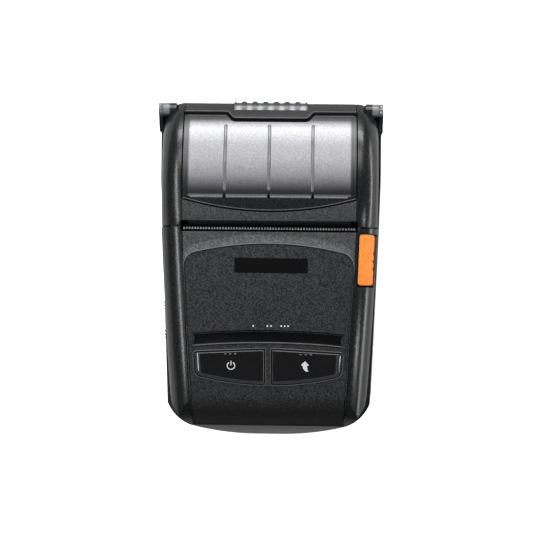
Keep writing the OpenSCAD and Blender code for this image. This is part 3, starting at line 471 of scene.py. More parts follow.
# Printed signs: dull white, a little thinner here and there.
white_ink = moulded("screen_printed_white_ink", "#cfd0d1", "#e0e1e1", 0.55, 0.15, 0.005, 0.3)

# %% [markdown]
# Inside there is rubber, natural plastic, board and paper. With the lid shut they hardly show, but
# with it open they do, so each has its own tone and gloss instead of one grey for all.

# %% Rubber, acetal, boards and paper
# Platen: ground rubber, quite dull.
rubber = moulded("nitrile_rubber_ground", "#151617", "#1d1e1f", 0.75, 0.2, 0.02, 0.5)
# Port cover: soft rubber-like plastic, duller than the case beside it.
cover_rubber = moulded("TPE_moulded_cover", "#191a1b", "#212224", 0.62, 0.35, 0.02, 0.5)
# Gears and bushes: natural acetal, milky white with a soft sheen.
acetal = moulded("acetal_natural", "#dcd8cc", "#e8e4da", 0.40, 1.2, 0.01, 0.3)
# Boards: green solder mask over glass cloth.
mask_green = moulded("FR4_green_solder_mask", "#1f5238", "#2a6446", 0.30, 2.0, 0.02, 0.3)
# Chips, switches and sockets: dull dark epoxy.
epoxy = moulded("epoxy_moulded_chip", "#161718", "#1d1e20", 0.5, 0.3, 0.01, 0.4)
# Status lights: clear epoxy, pale yellow when off.
diode = moulded("epoxy_clear_diode", "#d9d4bd", "#e8e4cf", 0.2, 1.0, 0.004, 0.2)
# Paper: smooth white with a hint of warmth.
paper = moulded("thermal_paper_smooth", "#e9e8e3", "#f4f3ef", 0.62, 0.3, 0.01, 0.4)
# The roll's core: brown wound card.
card = moulded("wound_card_tube", "#a1845c", "#b89b72", 0.8, 0.7, 0.05, 0.6)
# Print head's plate: dark glaze, glossy.
ceramic = moulded("print_head_glaze_dark", "#100f0e", "#171614", 0.25, 2.0, 0.004, 0.2)

# %% [markdown]
# Metals. Drawn, rolled or ground metal has marks along one direction, so the noise is stretched by
# giving it a different size along x, y and z. Metals keep the shader's default IOR.

# %% Metals
def metal(name, dark, light, rough, marks_mm=(8.0, 0.25, 0.25), depth_mm=0.006):
    """Metal with marks of marks_mm along x, y and z, which change its tone, gloss and height."""
    m, t, shader, coord = material(name, light, rough, 1.0)
    scaled = add(t, "Mapping", {"Vector": coord, "Scale": [1000.0 / s for s in marks_mm]})
    fine = add(t, "TexNoise", {"Vector": scaled, "Scale": 1.0, "Detail": 3.0})
    gloss = {"Value": fine, **NOISE_RANGE, "To Min": rough - 0.06, "To Max": rough + 0.08}
    feed(t, shader, {
        "Base Color": add(t, "ValToRGB", {0: fine}, two_tones(dark, light)),
        "Roughness": add(t, "MapRange", gloss),
        "Normal": add(t, "Bump", {"Height": fine, "Strength": 0.4, "Distance": depth_mm / 1000})})
    return m


# Shafts, pins, springs and screws: bright, with fine drawing lines.
steel = metal("stainless_steel_drawn", "#b4b5b6", "#d2d3d4", 0.28)
# Ground points of the tear bar's teeth: almost white.
blade = metal("stainless_steel_stamped", "#c8c9ca", "#e4e5e6", 0.32, (0.4, 0.4, 2.0))
# Body of the tear bar and the hinge pins: painted near black as shade, so that only the teeth shine.
steel_painted_shade = metal("steel_painted_shade_black", "#060606", "#0c0c0c", 0.6, (0.4, 0.4, 2.0))
# Pressed frame and motor can: zinc-plated sheet, a cool grey with cloudy crystals.
zinc = metal("zinc_plated_sheet_steel", "#8e9294", "#a9adaf", 0.38, (3.0, 3.0, 3.0))
# Heat sink: extruded aluminium with lines along x.
alu = metal("aluminium_extruded", "#a9acae", "#c6c9cb", 0.35)
# Contacts and pinion: yellow metal, the only warm tone inside.
gold = metal("gold_plated_brass", "#b98f3e", "#d3aa58", 0.3, (2.0, 2.0, 2.0))

# %% [markdown]
# Each solid of the frame gets its finish. The lever's solid is dark, because an orange cap lies on
# it, and the tear bar's is painted black as shade, so that only the bright teeth on it shine.

# %% Finishes of the solids
finish = {
    "lower_case": base_abs, "upper_case": case_two, "control_panel": panel_grain,
    "badge_plate": gloss_black, "led_lens": lens_black, "power_button": key_black,
    "feed_button": key_black, "panel_board": mask_green, "tact_switches": epoxy,
    "status_leds": diode, "open_lever": dark_abs, "lever_pin": steel, "lid_frame": lid_two,
    "lid_window": window_m, "lid_rear_bar": satin, "lid_liner": dark_abs, "hinge_pins": steel_painted_shade,
    "platen_roller": rubber, "platen_shaft": steel, "platen_bushes": acetal,
    "platen_gear": acetal, "mech_frame": zinc, "tear_bar": steel_painted_shade, "head_sink": alu,
    "head_plate": ceramic, "head_springs": steel, "feed_motor": zinc, "motor_pinion": gold,
    "idler_gear": acetal, "idler_post": steel, "paper_bay": dark_abs, "paper_roll": paper,
    "roll_core": card, "main_board": mask_green, "board_chips": epoxy, "usb_socket": steel,
    "dc_jack": epoxy, "port_cover": cover_rubber, "battery_pack": dark_abs,
    "battery_contacts": gold, "battery_latch": satin, "case_screws": steel,
    "board_screws": steel, "mech_screws": steel}
for name, node in nodes.items():
    node.data.materials.clear()
    node.data.materials.append(finish[name])
print("materials given to", len(finish), "solids")

# %% [markdown]
# A mould leaves no sharp edge. The solids are facets, so a weld joins them, a bevel rounds the edges
# a little, and weighted normals keep the flat faces flat. All three are modifiers, which leave the
# solid's own mesh as it is.

# %% Soft edges
def soften(name, width_mm, angle_deg=24, segments=3):
    """Welds a solid's facets and rounds its edges of more than angle_deg by width_mm."""
    node = nodes[name]
    weld = node.modifiers.new("weld", "WELD")
    weld.merge_threshold = 2e-6
    bevel = node.modifiers.new("soft_edges", "BEVEL")
    bevel.width, bevel.segments = width_mm / 1000, segments
    bevel.limit_method, bevel.angle_limit = "ANGLE", math.radians(angle_deg)
    bevel.use_clamp_overlap = True
    bevel.harden_normals = False
    normals = node.modifiers.new("normals", "WEIGHTED_NORMAL")
    normals.keep_sharp = False


EDGES_MM = {"upper_case": 0.25, "control_panel": 0.25, "lid_frame": 0.25, "lid_rear_bar": 0.25,
    "open_lever": 0.35, "lower_case": 0.3, "port_cover": 0.3}
for name, width in EDGES_MM.items():
    soften(name, width)
for node in nodes.values():
    node.data.shade_smooth()
print("softened", ", ".join(EDGES_MM))

# %% [markdown]
# New pieces. Each lies on the case by the same curves as the solids, in millimetres: seen from the
# side, the deck is an arc of radius 210, the nose one of 22 and the lid one of 40. A piece could be
# pushed onto the case with a shrinkwrap, but a formula puts it exactly there, at any spacing.

# %% Curves of the case
RAIL_TOP, RAIL_R, NOSE_RAIL_R = 41.3, 210.0, 22.0    # crest of the rails, and their two radii
FIELD_SUNK, NOSE_PROUD = 0.35, 0.035    # field below the rails, and nose arc out of the deck's
DECK_Y, DECK_Z, DECK_R = 13.5, RAIL_TOP - RAIL_R, RAIL_R - FIELD_SUNK
NOSE_Y, NOSE_R = -37.5, NOSE_RAIL_R - FIELD_SUNK
ARCS_APART = DECK_R - NOSE_R + NOSE_PROUD
NOSE_Z = DECK_Z + math.sqrt(ARCS_APART ** 2 - (NOSE_Y - DECK_Y) ** 2)
LID_Y, LID_Z, LID_R = 30.0, 4.0, 40.0
KEY_Y = -34.8
KEY_TILT = math.asin((DECK_Y - KEY_Y) / DECK_R)
KEY_Z = DECK_Z + math.sqrt(DECK_R ** 2 - (KEY_Y - DECK_Y) ** 2)
print("nose centre", NOSE_Y, round(NOSE_Z, 3), "keys tilt", round(math.degrees(KEY_TILT), 2), "deg")


def on_field(x, y, h=0.0):
    """Points h above the field, and their normals.

    The nearer arc holds: z = cz + sqrt(r^2 - (y - cy)^2), with the deck's centre and radius behind
    the line where the arcs meet, and the nose's in front of it.
    """
    x, y = np.broadcast_arrays(np.asarray(x, float), np.asarray(y, float))
    deck = y > DECK_Y + (NOSE_Y - DECK_Y) * DECK_R / ARCS_APART
    cy, cz = np.where(deck, DECK_Y, NOSE_Y), np.where(deck, DECK_Z, NOSE_Z)
    r = np.where(deck, DECK_R, NOSE_R)
    dz = np.sqrt(np.maximum(r ** 2 - (y - cy) ** 2, 1e-6))
    n = np.stack([0 * x, (y - cy) / r, dz / r], -1)
    return np.stack([x, y, cz + dz], -1) + n * np.asarray(h)[..., None], n


def on_lid(x, y, h=0.0):
    """Points h above the lid, and their normals: z = LID_Z + sqrt(LID_R^2 - (y - LID_Y)^2)."""
    x, y = np.broadcast_arrays(np.asarray(x, float), np.asarray(y, float))
    rise = np.sqrt(LID_R ** 2 - (y - LID_Y) ** 2)
    n = np.stack([0 * x, (y - LID_Y) / LID_R, rise / LID_R], -1)
    return np.stack([x, y, LID_Z + rise], -1) + n * np.asarray(h)[..., None], n


def lid_point(x, a, h):
    """Point of the lid at x and angle a from its crest, h above: the radius is LID_R + h."""
    return np.stack([x + 0 * a, LID_Y + (LID_R + h) * np.sin(a), LID_Z + (LID_R + h) * np.cos(a)], -1)


def key_point(x, v, n):
    """Point in the keys' frame: x across, v up the slope, n out of it, turned by KEY_TILT."""
    c, s = math.cos(KEY_TILT), math.sin(KEY_TILT)
    x, v, n = np.broadcast_arrays(np.asarray(x, float), np.asarray(v, float), np.asarray(n, float))
    return np.stack([x, KEY_Y + v * c - n * s, KEY_Z + v * s + n * c], -1)


def on_keys(x, v):
    """Points of the plane that the keys stand in, and their normals."""
    points = key_point(x, v, 0.0)
    return points, np.broadcast_to([0, -math.sin(KEY_TILT), math.cos(KEY_TILT)], points.shape)


def tapered_x(x, y):
    """x that narrows towards the nose: x plus or minus (y - TAPER_FROM_Y) RAIL_TAPER."""
    return x + np.sign(x) * (np.asarray(y) - TAPER_FROM_Y) * RAIL_TAPER


# %% [markdown]
# Every piece is a grid of points. Three ways make such a grid: rings stacked on each other for caps
# and printed ink, a section carried along a path for beads and grooves, and a sheet with a top and
# an underside. All are closed, so that they export as solids.

# %% Making a mesh
def new_piece(name, points, faces, finish, body, smooth=True, edges_deg=None):
    """Mesh object from points in millimetres, with welded seams and normals pointing out."""
    mesh = bpy.data.meshes.new(name)
    mesh.from_pydata((np.asarray(points, float) / 1000).tolist(), [], [list(map(int, f)) for f in faces])
    work = bmesh.new()
    work.from_mesh(mesh)
    bmesh.ops.remove_doubles(work, verts=work.verts, dist=1e-6)
    bmesh.ops.recalc_face_normals(work, faces=work.faces)
    work.to_mesh(mesh)
    work.free()
    obj = bpy.data.objects.new(name, mesh)
    bpy.context.scene.collection.objects.link(obj)
    mesh.materials.append(finish)
    if smooth:
        mesh.shade_smooth()
    if edges_deg:
        mesh.set_sharp_from_angle(angle=math.radians(edges_deg))
    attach(obj, body)
    print(name, len(mesh.polygons), "faces")
    return obj


def grid_faces(nu, nv, wrap_u=False, wrap_v=False, first=0):
    """Quads of a grid of nu by nv points; wrap joins the last row or column to the first."""
    rows, columns = np.arange(nu if wrap_u else nu - 1), np.arange(nv if wrap_v else nv - 1)
    i, j = np.meshgrid(rows, columns, indexing="ij")
    i2, j2 = (i + 1) % nu, (j + 1) % nv
    quads = np.stack([i * nv + j, i2 * nv + j, i2 * nv + j2, i * nv + j2], -1)
    return (quads.reshape(-1, 4) + first).tolist()


def end_caps(rows, count):
    """The two faces that close a stack of rows of count points."""
    return [list(range(count)), list(range((rows - 1) * count, rows * count))]


def stacked(name, rings, place, finish, body, edges_deg=None):
    """Closed solid through rings of equal point count, each (outline, height)."""
    count = len(rings[0][0])
    points = np.concatenate([place(loop[:, 0], loop[:, 1], n) for loop, n in rings])
    faces = grid_faces(len(rings), count, wrap_v=True) + end_caps(len(rings), count)
    return new_piece(name, points, faces, finish, body, edges_deg=edges_deg)


def printed(name, loop, place, low, high, body):
    """Layer of white ink with this outline, from low to high above a surface."""
    loop = np.asarray(loop, float)
    return stacked(name, [(loop, low), (loop, high)], place, white_ink, body, edges_deg=30)


def swept(name, points, normals, section, finish, body, scale=1.0, closed=False, edges_deg=50):
    """Closed strip: section points (side, height) are carried along points with their normals.

    P(i, j) = p_i + scale_i * s_j * (n_i x t_i) + h_j * n_i, with t_i the path's direction.
    """
    p, n = np.asarray(points, float), np.asarray(normals, float)
    t = np.roll(p, -1, 0) - np.roll(p, 1, 0) if closed else np.gradient(p, axis=0)
    t /= np.linalg.norm(t, axis=1, keepdims=True)
    side = np.cross(n, t)
    side /= np.linalg.norm(side, axis=1, keepdims=True)
    section = np.asarray(section, float)
    scale = np.broadcast_to(np.asarray(scale, float), (len(p),))
    out = side[:, None] * section[None, :, :1] * scale[:, None, None]
    grid = p[:, None] + out + n[:, None] * section[None, :, 1:]
    faces = grid_faces(len(p), len(section), wrap_u=closed, wrap_v=True)
    if not closed:
        faces += end_caps(len(p), len(section))
    return new_piece(name, grid.reshape(-1, 3), faces, finish, body, edges_deg=edges_deg)


def laid(name, surface, x, y, section, finish, body, **more):
    """Section carried along the line (x, y) of a surface, such as on_lid."""
    points, normals = surface(x, y)
    return swept(name, points, normals, section, finish, body, **more)


def closed_sheet(name, top, low, finish, body, edges_deg=50):
    """Closed solid between two grids of equal size, with a wall round their rim."""
    nu, nv = top.shape[:2]
    points = np.concatenate([top.reshape(-1, 3), low.reshape(-1, 3)])
    index = np.arange(nu * nv).reshape(nu, nv)
    rim = np.concatenate([index[:, 0], index[-1, 1:], index[-2::-1, -1], index[0, -2:0:-1]])
    wall = np.stack([rim, np.roll(rim, -1), np.roll(rim, -1) + nu * nv, rim + nu * nv], -1).tolist()
    faces = grid_faces(nu, nv) + grid_faces(nu, nv, first=nu * nv) + wall
    return new_piece(name, points, faces, finish, body, edges_deg=edges_deg)


# %% [markdown]
# Outlines are drawn as a few corners and then rounded, as a maker would sketch them. Moving an
# outline inwards or outwards edge by edge gives chamfers and gaps of a true width, which scaling
# wouldn't. A bead's section is half an oval, since a moulded edge is round.

# %% Outlines and sections
def rounded(points, radii, steps=6):
    """Polygon with each corner replaced by an arc of its radius, tangent to both edges."""
    pts, out = np.asarray(points, float), []
    for k in range(len(pts)):
        p, a, b = pts[k], pts[k - 1], pts[(k + 1) % len(pts)]
        u, w = (a - p) / np.linalg.norm(a - p), (b - p) / np.linalg.norm(b - p)
        r = radii[k] if np.ndim(radii) else radii
        half = math.acos(np.clip(u @ w, -1, 1)) / 2
        if r <= 0 or half > math.pi / 2 - 1e-3:
            out.append(p)
            continue
        c = p + (u + w) / np.linalg.norm(u + w) * r / math.sin(half)
        t0, t1 = p + u * r / math.tan(half) - c, p + w * r / math.tan(half) - c
        a0, a1 = math.atan2(t0[1], t0[0]), math.atan2(t1[1], t1[0])
        turn = (a1 - a0 + math.pi) % (2 * math.pi) - math.pi
        angle = a0 + turn * np.linspace(0, 1, steps + 1)
        out.extend(c + r * np.stack([np.cos(angle), np.sin(angle)], -1))
    return np.array(out)


def inset(points, widths):
    """Polygon with each edge k (from corner k to k + 1) moved inwards by widths[k].

    Corner k is where the moved edges k - 1 and k cross.
    """
    pts = np.asarray(points, float)
    edge = np.roll(pts, -1, 0) - pts
    edge /= np.linalg.norm(edge, axis=1, keepdims=True)
    x, y = pts.T
    sign = np.sign(x @ np.roll(y, -1) - np.roll(x, -1) @ y)
    inwards = sign * np.stack([-edge[:, 1], edge[:, 0]], -1)
    moved = pts + inwards * np.asarray(widths, float)[:, None]
    start, along = np.roll(moved, 1, 0), np.roll(edge, 1, 0)
    steps = np.linalg.solve(np.stack([along, -edge], -1), (moved - start)[..., None])
    return start + along * steps[:, 0]


def resampled(path, steps):
    """Open path with steps points at equal distances along it."""
    path = np.asarray(path, float)
    along = np.concatenate([[0], np.cumsum(np.linalg.norm(np.diff(path, axis=0), axis=1))])
    at = np.linspace(0, along[-1], steps)
    return np.stack([np.interp(at, along, column) for column in path.T], -1)


def oval(x, y, half_x, half_y, steps):
    """Outline of an oval round (x, y): (x + half_x cos a, y + half_y sin a)."""
    a = np.linspace(0, 2 * math.pi, steps + 1)[:-1]
    return np.stack([x + half_x * np.cos(a), y + half_y * np.sin(a)], -1)


BEAD_SUNK = 0.08    # depth of a bead's foot, so that no gap shows under it


def bead(width, height):
    """Section of a bead: half an ellipse of this width and height, with a sunk foot."""
    a = np.linspace(0, math.pi, 7)
    arc = np.stack([width / 2 * np.cos(a), height * np.sin(a)], -1)
    return np.concatenate([arc, [[-width / 2, -BEAD_SUNK], [width / 2, -BEAD_SUNK]]])


# %% [markdown]
# The two keys are glossy caps that mirror each other. Each has a wide rounded chamfer at its outer
# end and front edge and narrow ones elsewhere, which draw the bright lines beside the dark tops, by
# the lamps and by a painted reflection in their paler colour. A bevel modifier gives one width
# everywhere, so the cap is a stack of rings between two outlines.

# %% Key caps
KEY_OUTLINE = np.array([
    [-25.95, 6.05], [-1.3, 7.4], [-1.3, -5.45], [-9.0, -5.0], [-17.0, -3.95], [-25.6, -2.1]])
KEY_CORNERS = (0.9, 0.4, 0.5, 12.0, 12.0, 2.4)
TOP_INSET = (0.3, 0.35, 1.3, 1.3, 1.3, 1.9)       # width of the chamfer at each edge
TOP_CORNERS = (0.7, 0.3, 0.4, 9.0, 9.0, 1.2)
FOOT_SHARE, FOOT_LOW, FOOT_HIGH = 0.9, -2.4, -0.2    # the foot under the cap
CAP_LOW, CHAMFER_LOW, CHAMFER_RISE = -0.02, 0.06, 0.58
KEYS = (("power_key_cap", 1, "power_button", "power_key"),
    ("feed_key_cap", -1, "feed_button", "feed_key"))


def key_cap(name, side, node, body):
    """Cap whose chamfer rises by CHAMFER_RISE sin(f pi / 2)^0.75 at share f of its width."""
    base = rounded(KEY_OUTLINE, KEY_CORNERS, 8)
    top = rounded(inset(KEY_OUTLINE, TOP_INSET), TOP_CORNERS, 8)
    rings = [(base * FOOT_SHARE, FOOT_LOW), (base * FOOT_SHARE, FOOT_HIGH)]
    rings += [(base, CAP_LOW), (base, CHAMFER_LOW)]
    for f in (0.04, 0.12, 0.25, 0.45, 0.7, 0.92, 1.0):
        rise = CHAMFER_RISE * math.sin(f * math.pi / 2) ** 0.75
        rings.append((base + (top - base) * f, CHAMFER_LOW + rise))
    rings = [(loop * [side, 1], n) for loop, n in rings]
    cap = stacked(name, rings, key_point, key_black, body, edges_deg=60)
    cap.data.materials.append(key_chamfer_painted_sheen)
    # The large flat faces stay black, and the narrow ones of the chamfer get the paler finish, a painted
    # reflection.
    area = np.array([face.area for face in cap.data.polygons])
    chamfer = area <= 0.6 * area.max()
    cap.data.polygons.foreach_set("material_index", chamfer.astype(int))
    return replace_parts(cap, node)


# %% [markdown]
# A key moves in a narrow gap, which is a dark line, and the panel's edge round the gap is a thin
# painted highlight. Both follow the key's own outline, moved outwards. Three small oval bumps at the
# rear of each key let a finger find it, pale with a painted highlight, and a bar of the panel parts the
# two.

# %% Grooves, rims and bumps of the keys
GROOVE_OUT, RIM_OUT = 0.14, 0.52             # distance of each line's middle from the key
DIVIDER_V = np.linspace(-6.2, 7.9, 12)
BUMPS_X, BUMPS_V = (-15.06, -13.3, -11.5), 5.85
BUMP_PROFILE = ((1.0, 0.5), (0.97, 0.8), (0.85, 0.98), (0.6, 1.1), (0.25, 1.16))


def key_loop(side, grow):
    """Outline of a key moved out by grow, with rounded corners."""
    loop = rounded(inset(KEY_OUTLINE, [-grow] * 6), [r + grow for r in KEY_CORNERS], 8)
    return loop * [side, 1]


for name, side, node, body in KEYS:
    key_cap(name, side, node, body)
    laid(f"{name}_groove", on_keys, *key_loop(side, GROOVE_OUT).T, bead(0.42, 0.05), groove_black,
        "base", closed=True)
    laid(f"{name}_rim", on_keys, *key_loop(side, RIM_OUT).T, bead(0.40, 0.16), edge_painted_highlight,
        "base", closed=True)
    for k, x in enumerate(BUMPS_X):
        rings = [(oval(x * side, BUMPS_V, 0.52 * f, 0.36 * f, 24), n) for f, n in BUMP_PROFILE]
        stacked(f"{body}_bump_{k + 1}", rings, key_point, edge_painted_highlight, body)
laid("key_divider", on_keys, 0, DIVIDER_V, bead(1.5, 0.32), panel_grain, "base")

# %% [markdown]
# Screen printing lays a thin film of ink. A picture texture could carry it, but an outline a few
# hundredths of a millimetre thick stays sharp at any distance: the standby sign and the feed arrow
# on the keys, and six dots that mark the status lights on the panel.

# %% Printed signs
INK = (0.63, 0.68)                           # lower and upper face of the ink on a key
SIGN_X, SIGN_V = -13.05, 1.55
RING_R, STROKE = 1.33, 0.34
ARROW = np.array([
    [0.0, 2.0], [1.3, 0.62], [1.22, 0.3], [0.72, 0.25], [0.75, -0.5], [1.22, -1.85],
    [0.5, -1.8], [-0.3, -1.25], [-0.72, -0.5], [-0.75, 0.25], [-1.22, 0.3], [-1.3, 0.62]])
ARROW_AT = (13.0, 1.5)
DOTS_X, DOTS_Y, DOT_R = (-5.25, -0.33, 0.97, 4.58, 5.78, 6.97), -19.25, 0.30


def ring_band(a0, a1):
    """Band of width STROKE along a circle of radius RING_R, from angle a0 to a1 in degrees."""
    a = np.radians(np.linspace(a0, a1, 28))
    unit = np.stack([np.cos(a), np.sin(a)], -1)
    band = np.concatenate([unit * (RING_R + STROKE / 2), unit[::-1] * (RING_R - STROKE / 2)])
    return band + [SIGN_X, SIGN_V]


printed("power_symbol_ring", ring_band(120, 420), key_point, *INK, "power_key")
bar = np.array([[-STROKE / 2, 0.1], [STROKE / 2, 0.1], [STROKE / 2, 1.8], [-STROKE / 2, 1.8]])
printed("power_symbol_bar", rounded(bar + [SIGN_X, SIGN_V], 0.08, 3), key_point, *INK, "power_key")
printed("feed_symbol", ARROW + ARROW_AT, key_point, *INK, "feed_key")
for k, x in enumerate(DOTS_X):
    dot = oval(x, DOTS_Y, DOT_R, DOT_R, 16)
    printed(f"level_dot_{k + 1}", dot, lambda u, v, n: on_field(u, v, n)[0], -0.02, 0.07, "base")

# %% [markdown]
# The status strip is a window of smoked plastic, pressed into the panel as a shallow trough with
# rounded ends. A thin bead along its front edge is a painted highlight.

# %% Status strip
STRIP_R, STRIP_REAR, STRIP_FRONT = 285.0, -20.75, -25.15
STRIP_HALF, STRIP_END_R = 26.5, 0.8
STRIP_RIM, STRIP_DEPTH, STRIP_UNDER = 0.10, 0.42, -1.05


def strip_y(x, apex):
    """Arc of radius STRIP_R across the panel whose crown is at y = apex."""
    return apex - STRIP_R + np.sqrt(STRIP_R ** 2 - np.asarray(x) ** 2)


def strip():
    """Trough: h = rim - depth sin(pi v^0.8)^0.8, less towards its ends and over its rear fifth."""
    u, v = np.meshgrid(np.linspace(-1, 1, 97), np.linspace(0, 1, 25), indexing="ij")
    x = STRIP_HALF * u
    y = strip_y(x, STRIP_FRONT) + (STRIP_REAR - STRIP_FRONT) * v
    end = 1 - (1 - np.clip((1 - np.abs(u)) * STRIP_HALF / STRIP_END_R, 0, 1)) ** 2
    rise = np.where(v > 0.8, (v - 0.8) / 0.2, 0)
    trough = np.sin(math.pi * v ** 0.8) ** 0.8 * np.sqrt(end) * (1 - rise ** 3)
    top, low = on_field(x, y, STRIP_RIM - STRIP_DEPTH * trough)[0], on_field(x, y, STRIP_UNDER)[0]
    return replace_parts(closed_sheet("status_strip", top, low, lens_black, "base"), "led_lens")


strip()
x = np.linspace(-26.6, 26.6, 60)
laid("strip_front_bead", on_field, x, strip_y(x, STRIP_FRONT - 0.1), bead(0.45, 0.16), edge_painted_highlight, "base")

# %% [markdown]
# Behind the panel the field rises in a soft ramp, which ends in a fine step at the panel's edge. Its
# crest, the brightest line on the case, is a painted highlight at the rear. One section is carried
# round the panel's outline and grows from a hair at the sides to full width at the rear. A dark
# groove goes with it, on down to the nose.

# %% Ramp round the panel
PANEL_HALF, PANEL_SIDE_Y, PANEL_TOP, PANEL_R = 29.7, 2.8, 9.5, 110.0
CORNER_X, CORNER_R = 29.9, 4.5
RAMP_SECTION = [
    [0.05, -0.10], [0.05, 0.22], [0.15, 0.42], [0.4, 0.50], [0.7, 0.44],
    [1.1, 0.30], [1.6, 0.16], [2.3, 0.05], [3.2, -0.03], [3.2, -0.10]]
RAMP_WIDTH_Y, RAMP_WIDTH = (-44, -2, 4, 7), (0.10, 0.14, 0.5, 1.0)
PAINTED_CREST_FROM_Y = 3                             # the crest is a painted highlight behind this line only


def panel_side(y):
    """Half the panel's width at y, which tapers towards the nose as the rails do."""
    return PANEL_HALF + (y - PANEL_SIDE_Y) * RAIL_TAPER


def rear_arc(x):
    """Rear edge of the panel: y = PANEL_TOP - PANEL_R + sqrt(PANEL_R^2 - x^2)."""
    return PANEL_TOP - PANEL_R + np.sqrt(PANEL_R ** 2 - x ** 2)


def panel_path(front, steps):
    """Left side, rear arc and right side of the panel's outline, with rounded corners."""
    arc_x, corner_y = np.linspace(-25, 25, 41), rear_arc(CORNER_X)
    ends = np.array([[panel_side(corner_y), corner_y], [panel_side(front), front]])
    arc = np.stack([arc_x, rear_arc(arc_x)], -1)
    loop = np.concatenate([ends[::-1] * [-1, 1], arc, ends])
    return resampled(rounded(loop, [0, CORNER_R] + [0] * len(arc) + [CORNER_R, 0], 12), steps)


path = panel_path(-44.0, 240)
width = np.interp(path[:, 1], RAMP_WIDTH_Y, RAMP_WIDTH)
piece = laid("panel_ramp", on_field, *path.T, RAMP_SECTION, ramp_grain, "base", scale=width, edges_deg=70)
piece.data.materials.append(crest_painted_highlight)
row, column = np.divmod(np.arange(len(piece.data.polygons)), len(RAMP_SECTION))
far_back = path[np.minimum(row, len(path) - 1), 1] > PAINTED_CREST_FROM_Y
crest = (row < len(path) - 1) & np.isin(column, (1, 2)) & far_back
piece.data.polygons.foreach_set("material_index", crest.astype(int))
laid("panel_groove", on_field, *panel_path(-55.2, 260).T, bead(0.30, 0.02), groove_black, "base")

# %% [markdown]
# At the foot of the nose the panel and the case show as one smooth skin. A sheet 0.035 mm above
# both covers the seam that the solids have there.

# %% Skin of the nose
SKIN_FRONT, SKIN_LENGTH, SKIN_OVER, SKIN_UNDER = -55.35, 5.0, 0.035, -0.12

u, v = np.meshgrid(np.linspace(-1, 1, 65), np.linspace(0, 1, 17), indexing="ij")
y = SKIN_FRONT + SKIN_LENGTH * v
top, low = (on_field(panel_side(y) * u, y, h)[0] for h in (SKIN_OVER, SKIN_UNDER))
closed_sheet("nose_skin", top, low, panel_grain, "base")

# %% [markdown]
# Thin dark seams part the field from the rails, and the window from the lid's rails. They could be
# cut into the solids, but a flat black bead looks the same and leaves the frame as it is.

# %% Grooves beside the rails
RAIL_GROOVE_X, RAIL_GROOVE_Y = 30.55, np.linspace(13.4, -28.0, 60)
WINDOW_GROOVE_X, WINDOW_GROOVE_Y = 30.45, np.linspace(25.4, 56.0, 40)

for side, name in ((-1, "left"), (1, "right")):
    laid(f"rail_groove_{name}", on_field, tapered_x(side * RAIL_GROOVE_X, RAIL_GROOVE_Y), RAIL_GROOVE_Y,
        bead(0.42, 0.06), groove_black, "base", scale=np.linspace(1.0, 0.2, 60))
    laid(f"window_groove_{name}", on_lid, side * WINDOW_GROOVE_X, WINDOW_GROOVE_Y,
        bead(0.5, 0.05), groove_black, "lid")

# %% [markdown]
# The finger lip is the lid's front edge, by which it is pulled up. It reaches over the slot in a
# shallow arc and lies in shade, with a thin lit edge and a shadow line in front of it. A sheet
# between the arc and the window gives it the curve of the lid.

# %% Lip below the window
LIP_R, LIP_TOP, LIP_HALF, LIP_REAR = 111.0, 21.1, 30.1, 25.85
LIP_OVER, LIP_UNDER = 0.05, -0.5


def lip_y(x):
    """Front edge of the lip: y = LIP_TOP + LIP_R - sqrt(LIP_R^2 - x^2)."""
    return LIP_TOP + LIP_R - np.sqrt(LIP_R ** 2 - np.asarray(x) ** 2)


x, v = np.meshgrid(np.linspace(-LIP_HALF, LIP_HALF, 61), np.linspace(0, 1, 9), indexing="ij")
y = lip_y(x) + (LIP_REAR - lip_y(x)) * v
closed_sheet("lid_lip", on_lid(x, y, LIP_OVER)[0], on_lid(x, y, LIP_UNDER)[0], lip_grain, "lid")
x = np.linspace(-LIP_HALF, LIP_HALF, 70)
laid("lid_lip_edge", on_lid, x, lip_y(x) + 0.15, bead(0.36, 0.12), edge_painted_highlight, "lid")
laid("lid_lip_groove", on_lid, x, lip_y(x) - 0.32, bead(0.50, 0.05), groove_black, "lid")

# %% [markdown]
# The window's front edge is a bright rim of clear plastic. Three small notches break it where the
# ribs behind it end, so it is four beads between them.

# %% Front edge of the window
NOTCHES_X, NOTCH_Y = (-15.7, -0.2, 15.1), np.linspace(25.3, 26.9, 6)
FRONT_EDGES_X, FRONT_EDGE_Y = ((-27.6, -16.3), (-15.1, -0.8), (0.4, 14.5), (15.7, 27.3)), 25.72

for k, x in enumerate(NOTCHES_X):
    laid(f"window_notch_{k + 1}", on_lid, x, NOTCH_Y, bead(0.85, 0.06), groove_black, "lid")
for k, (x0, x1) in enumerate(FRONT_EDGES_X):
    laid(f"window_front_edge_{k + 1}", on_lid, np.linspace(x0, x1, 24), FRONT_EDGE_Y,
        bead(0.62, 0.14), rib_m, "lid")

# %% [markdown]
# The bar behind the window steps forward in the middle, where the grip is. Its lit front edge, a
# painted highlight, the seam before it and the painted soft shade on the window are three beads along
# one path. At both sides of the step the window's own rear edge shows as a thin painted highlight.

# %% Edges of the rear bar
BAR_EDGE = (
    [-30.2, 56.35], [-15.0, 56.35], [-13.0, 54.0], [13.0, 54.0], [15.0, 56.35], [30.2, 56.35])
BAR_CORNERS = (0, 1.6, 1.6, 1.6, 1.6, 0)
REAR_LINE_X, REAR_LINE_Y = np.linspace(15.6, 29.4, 20), 54.75

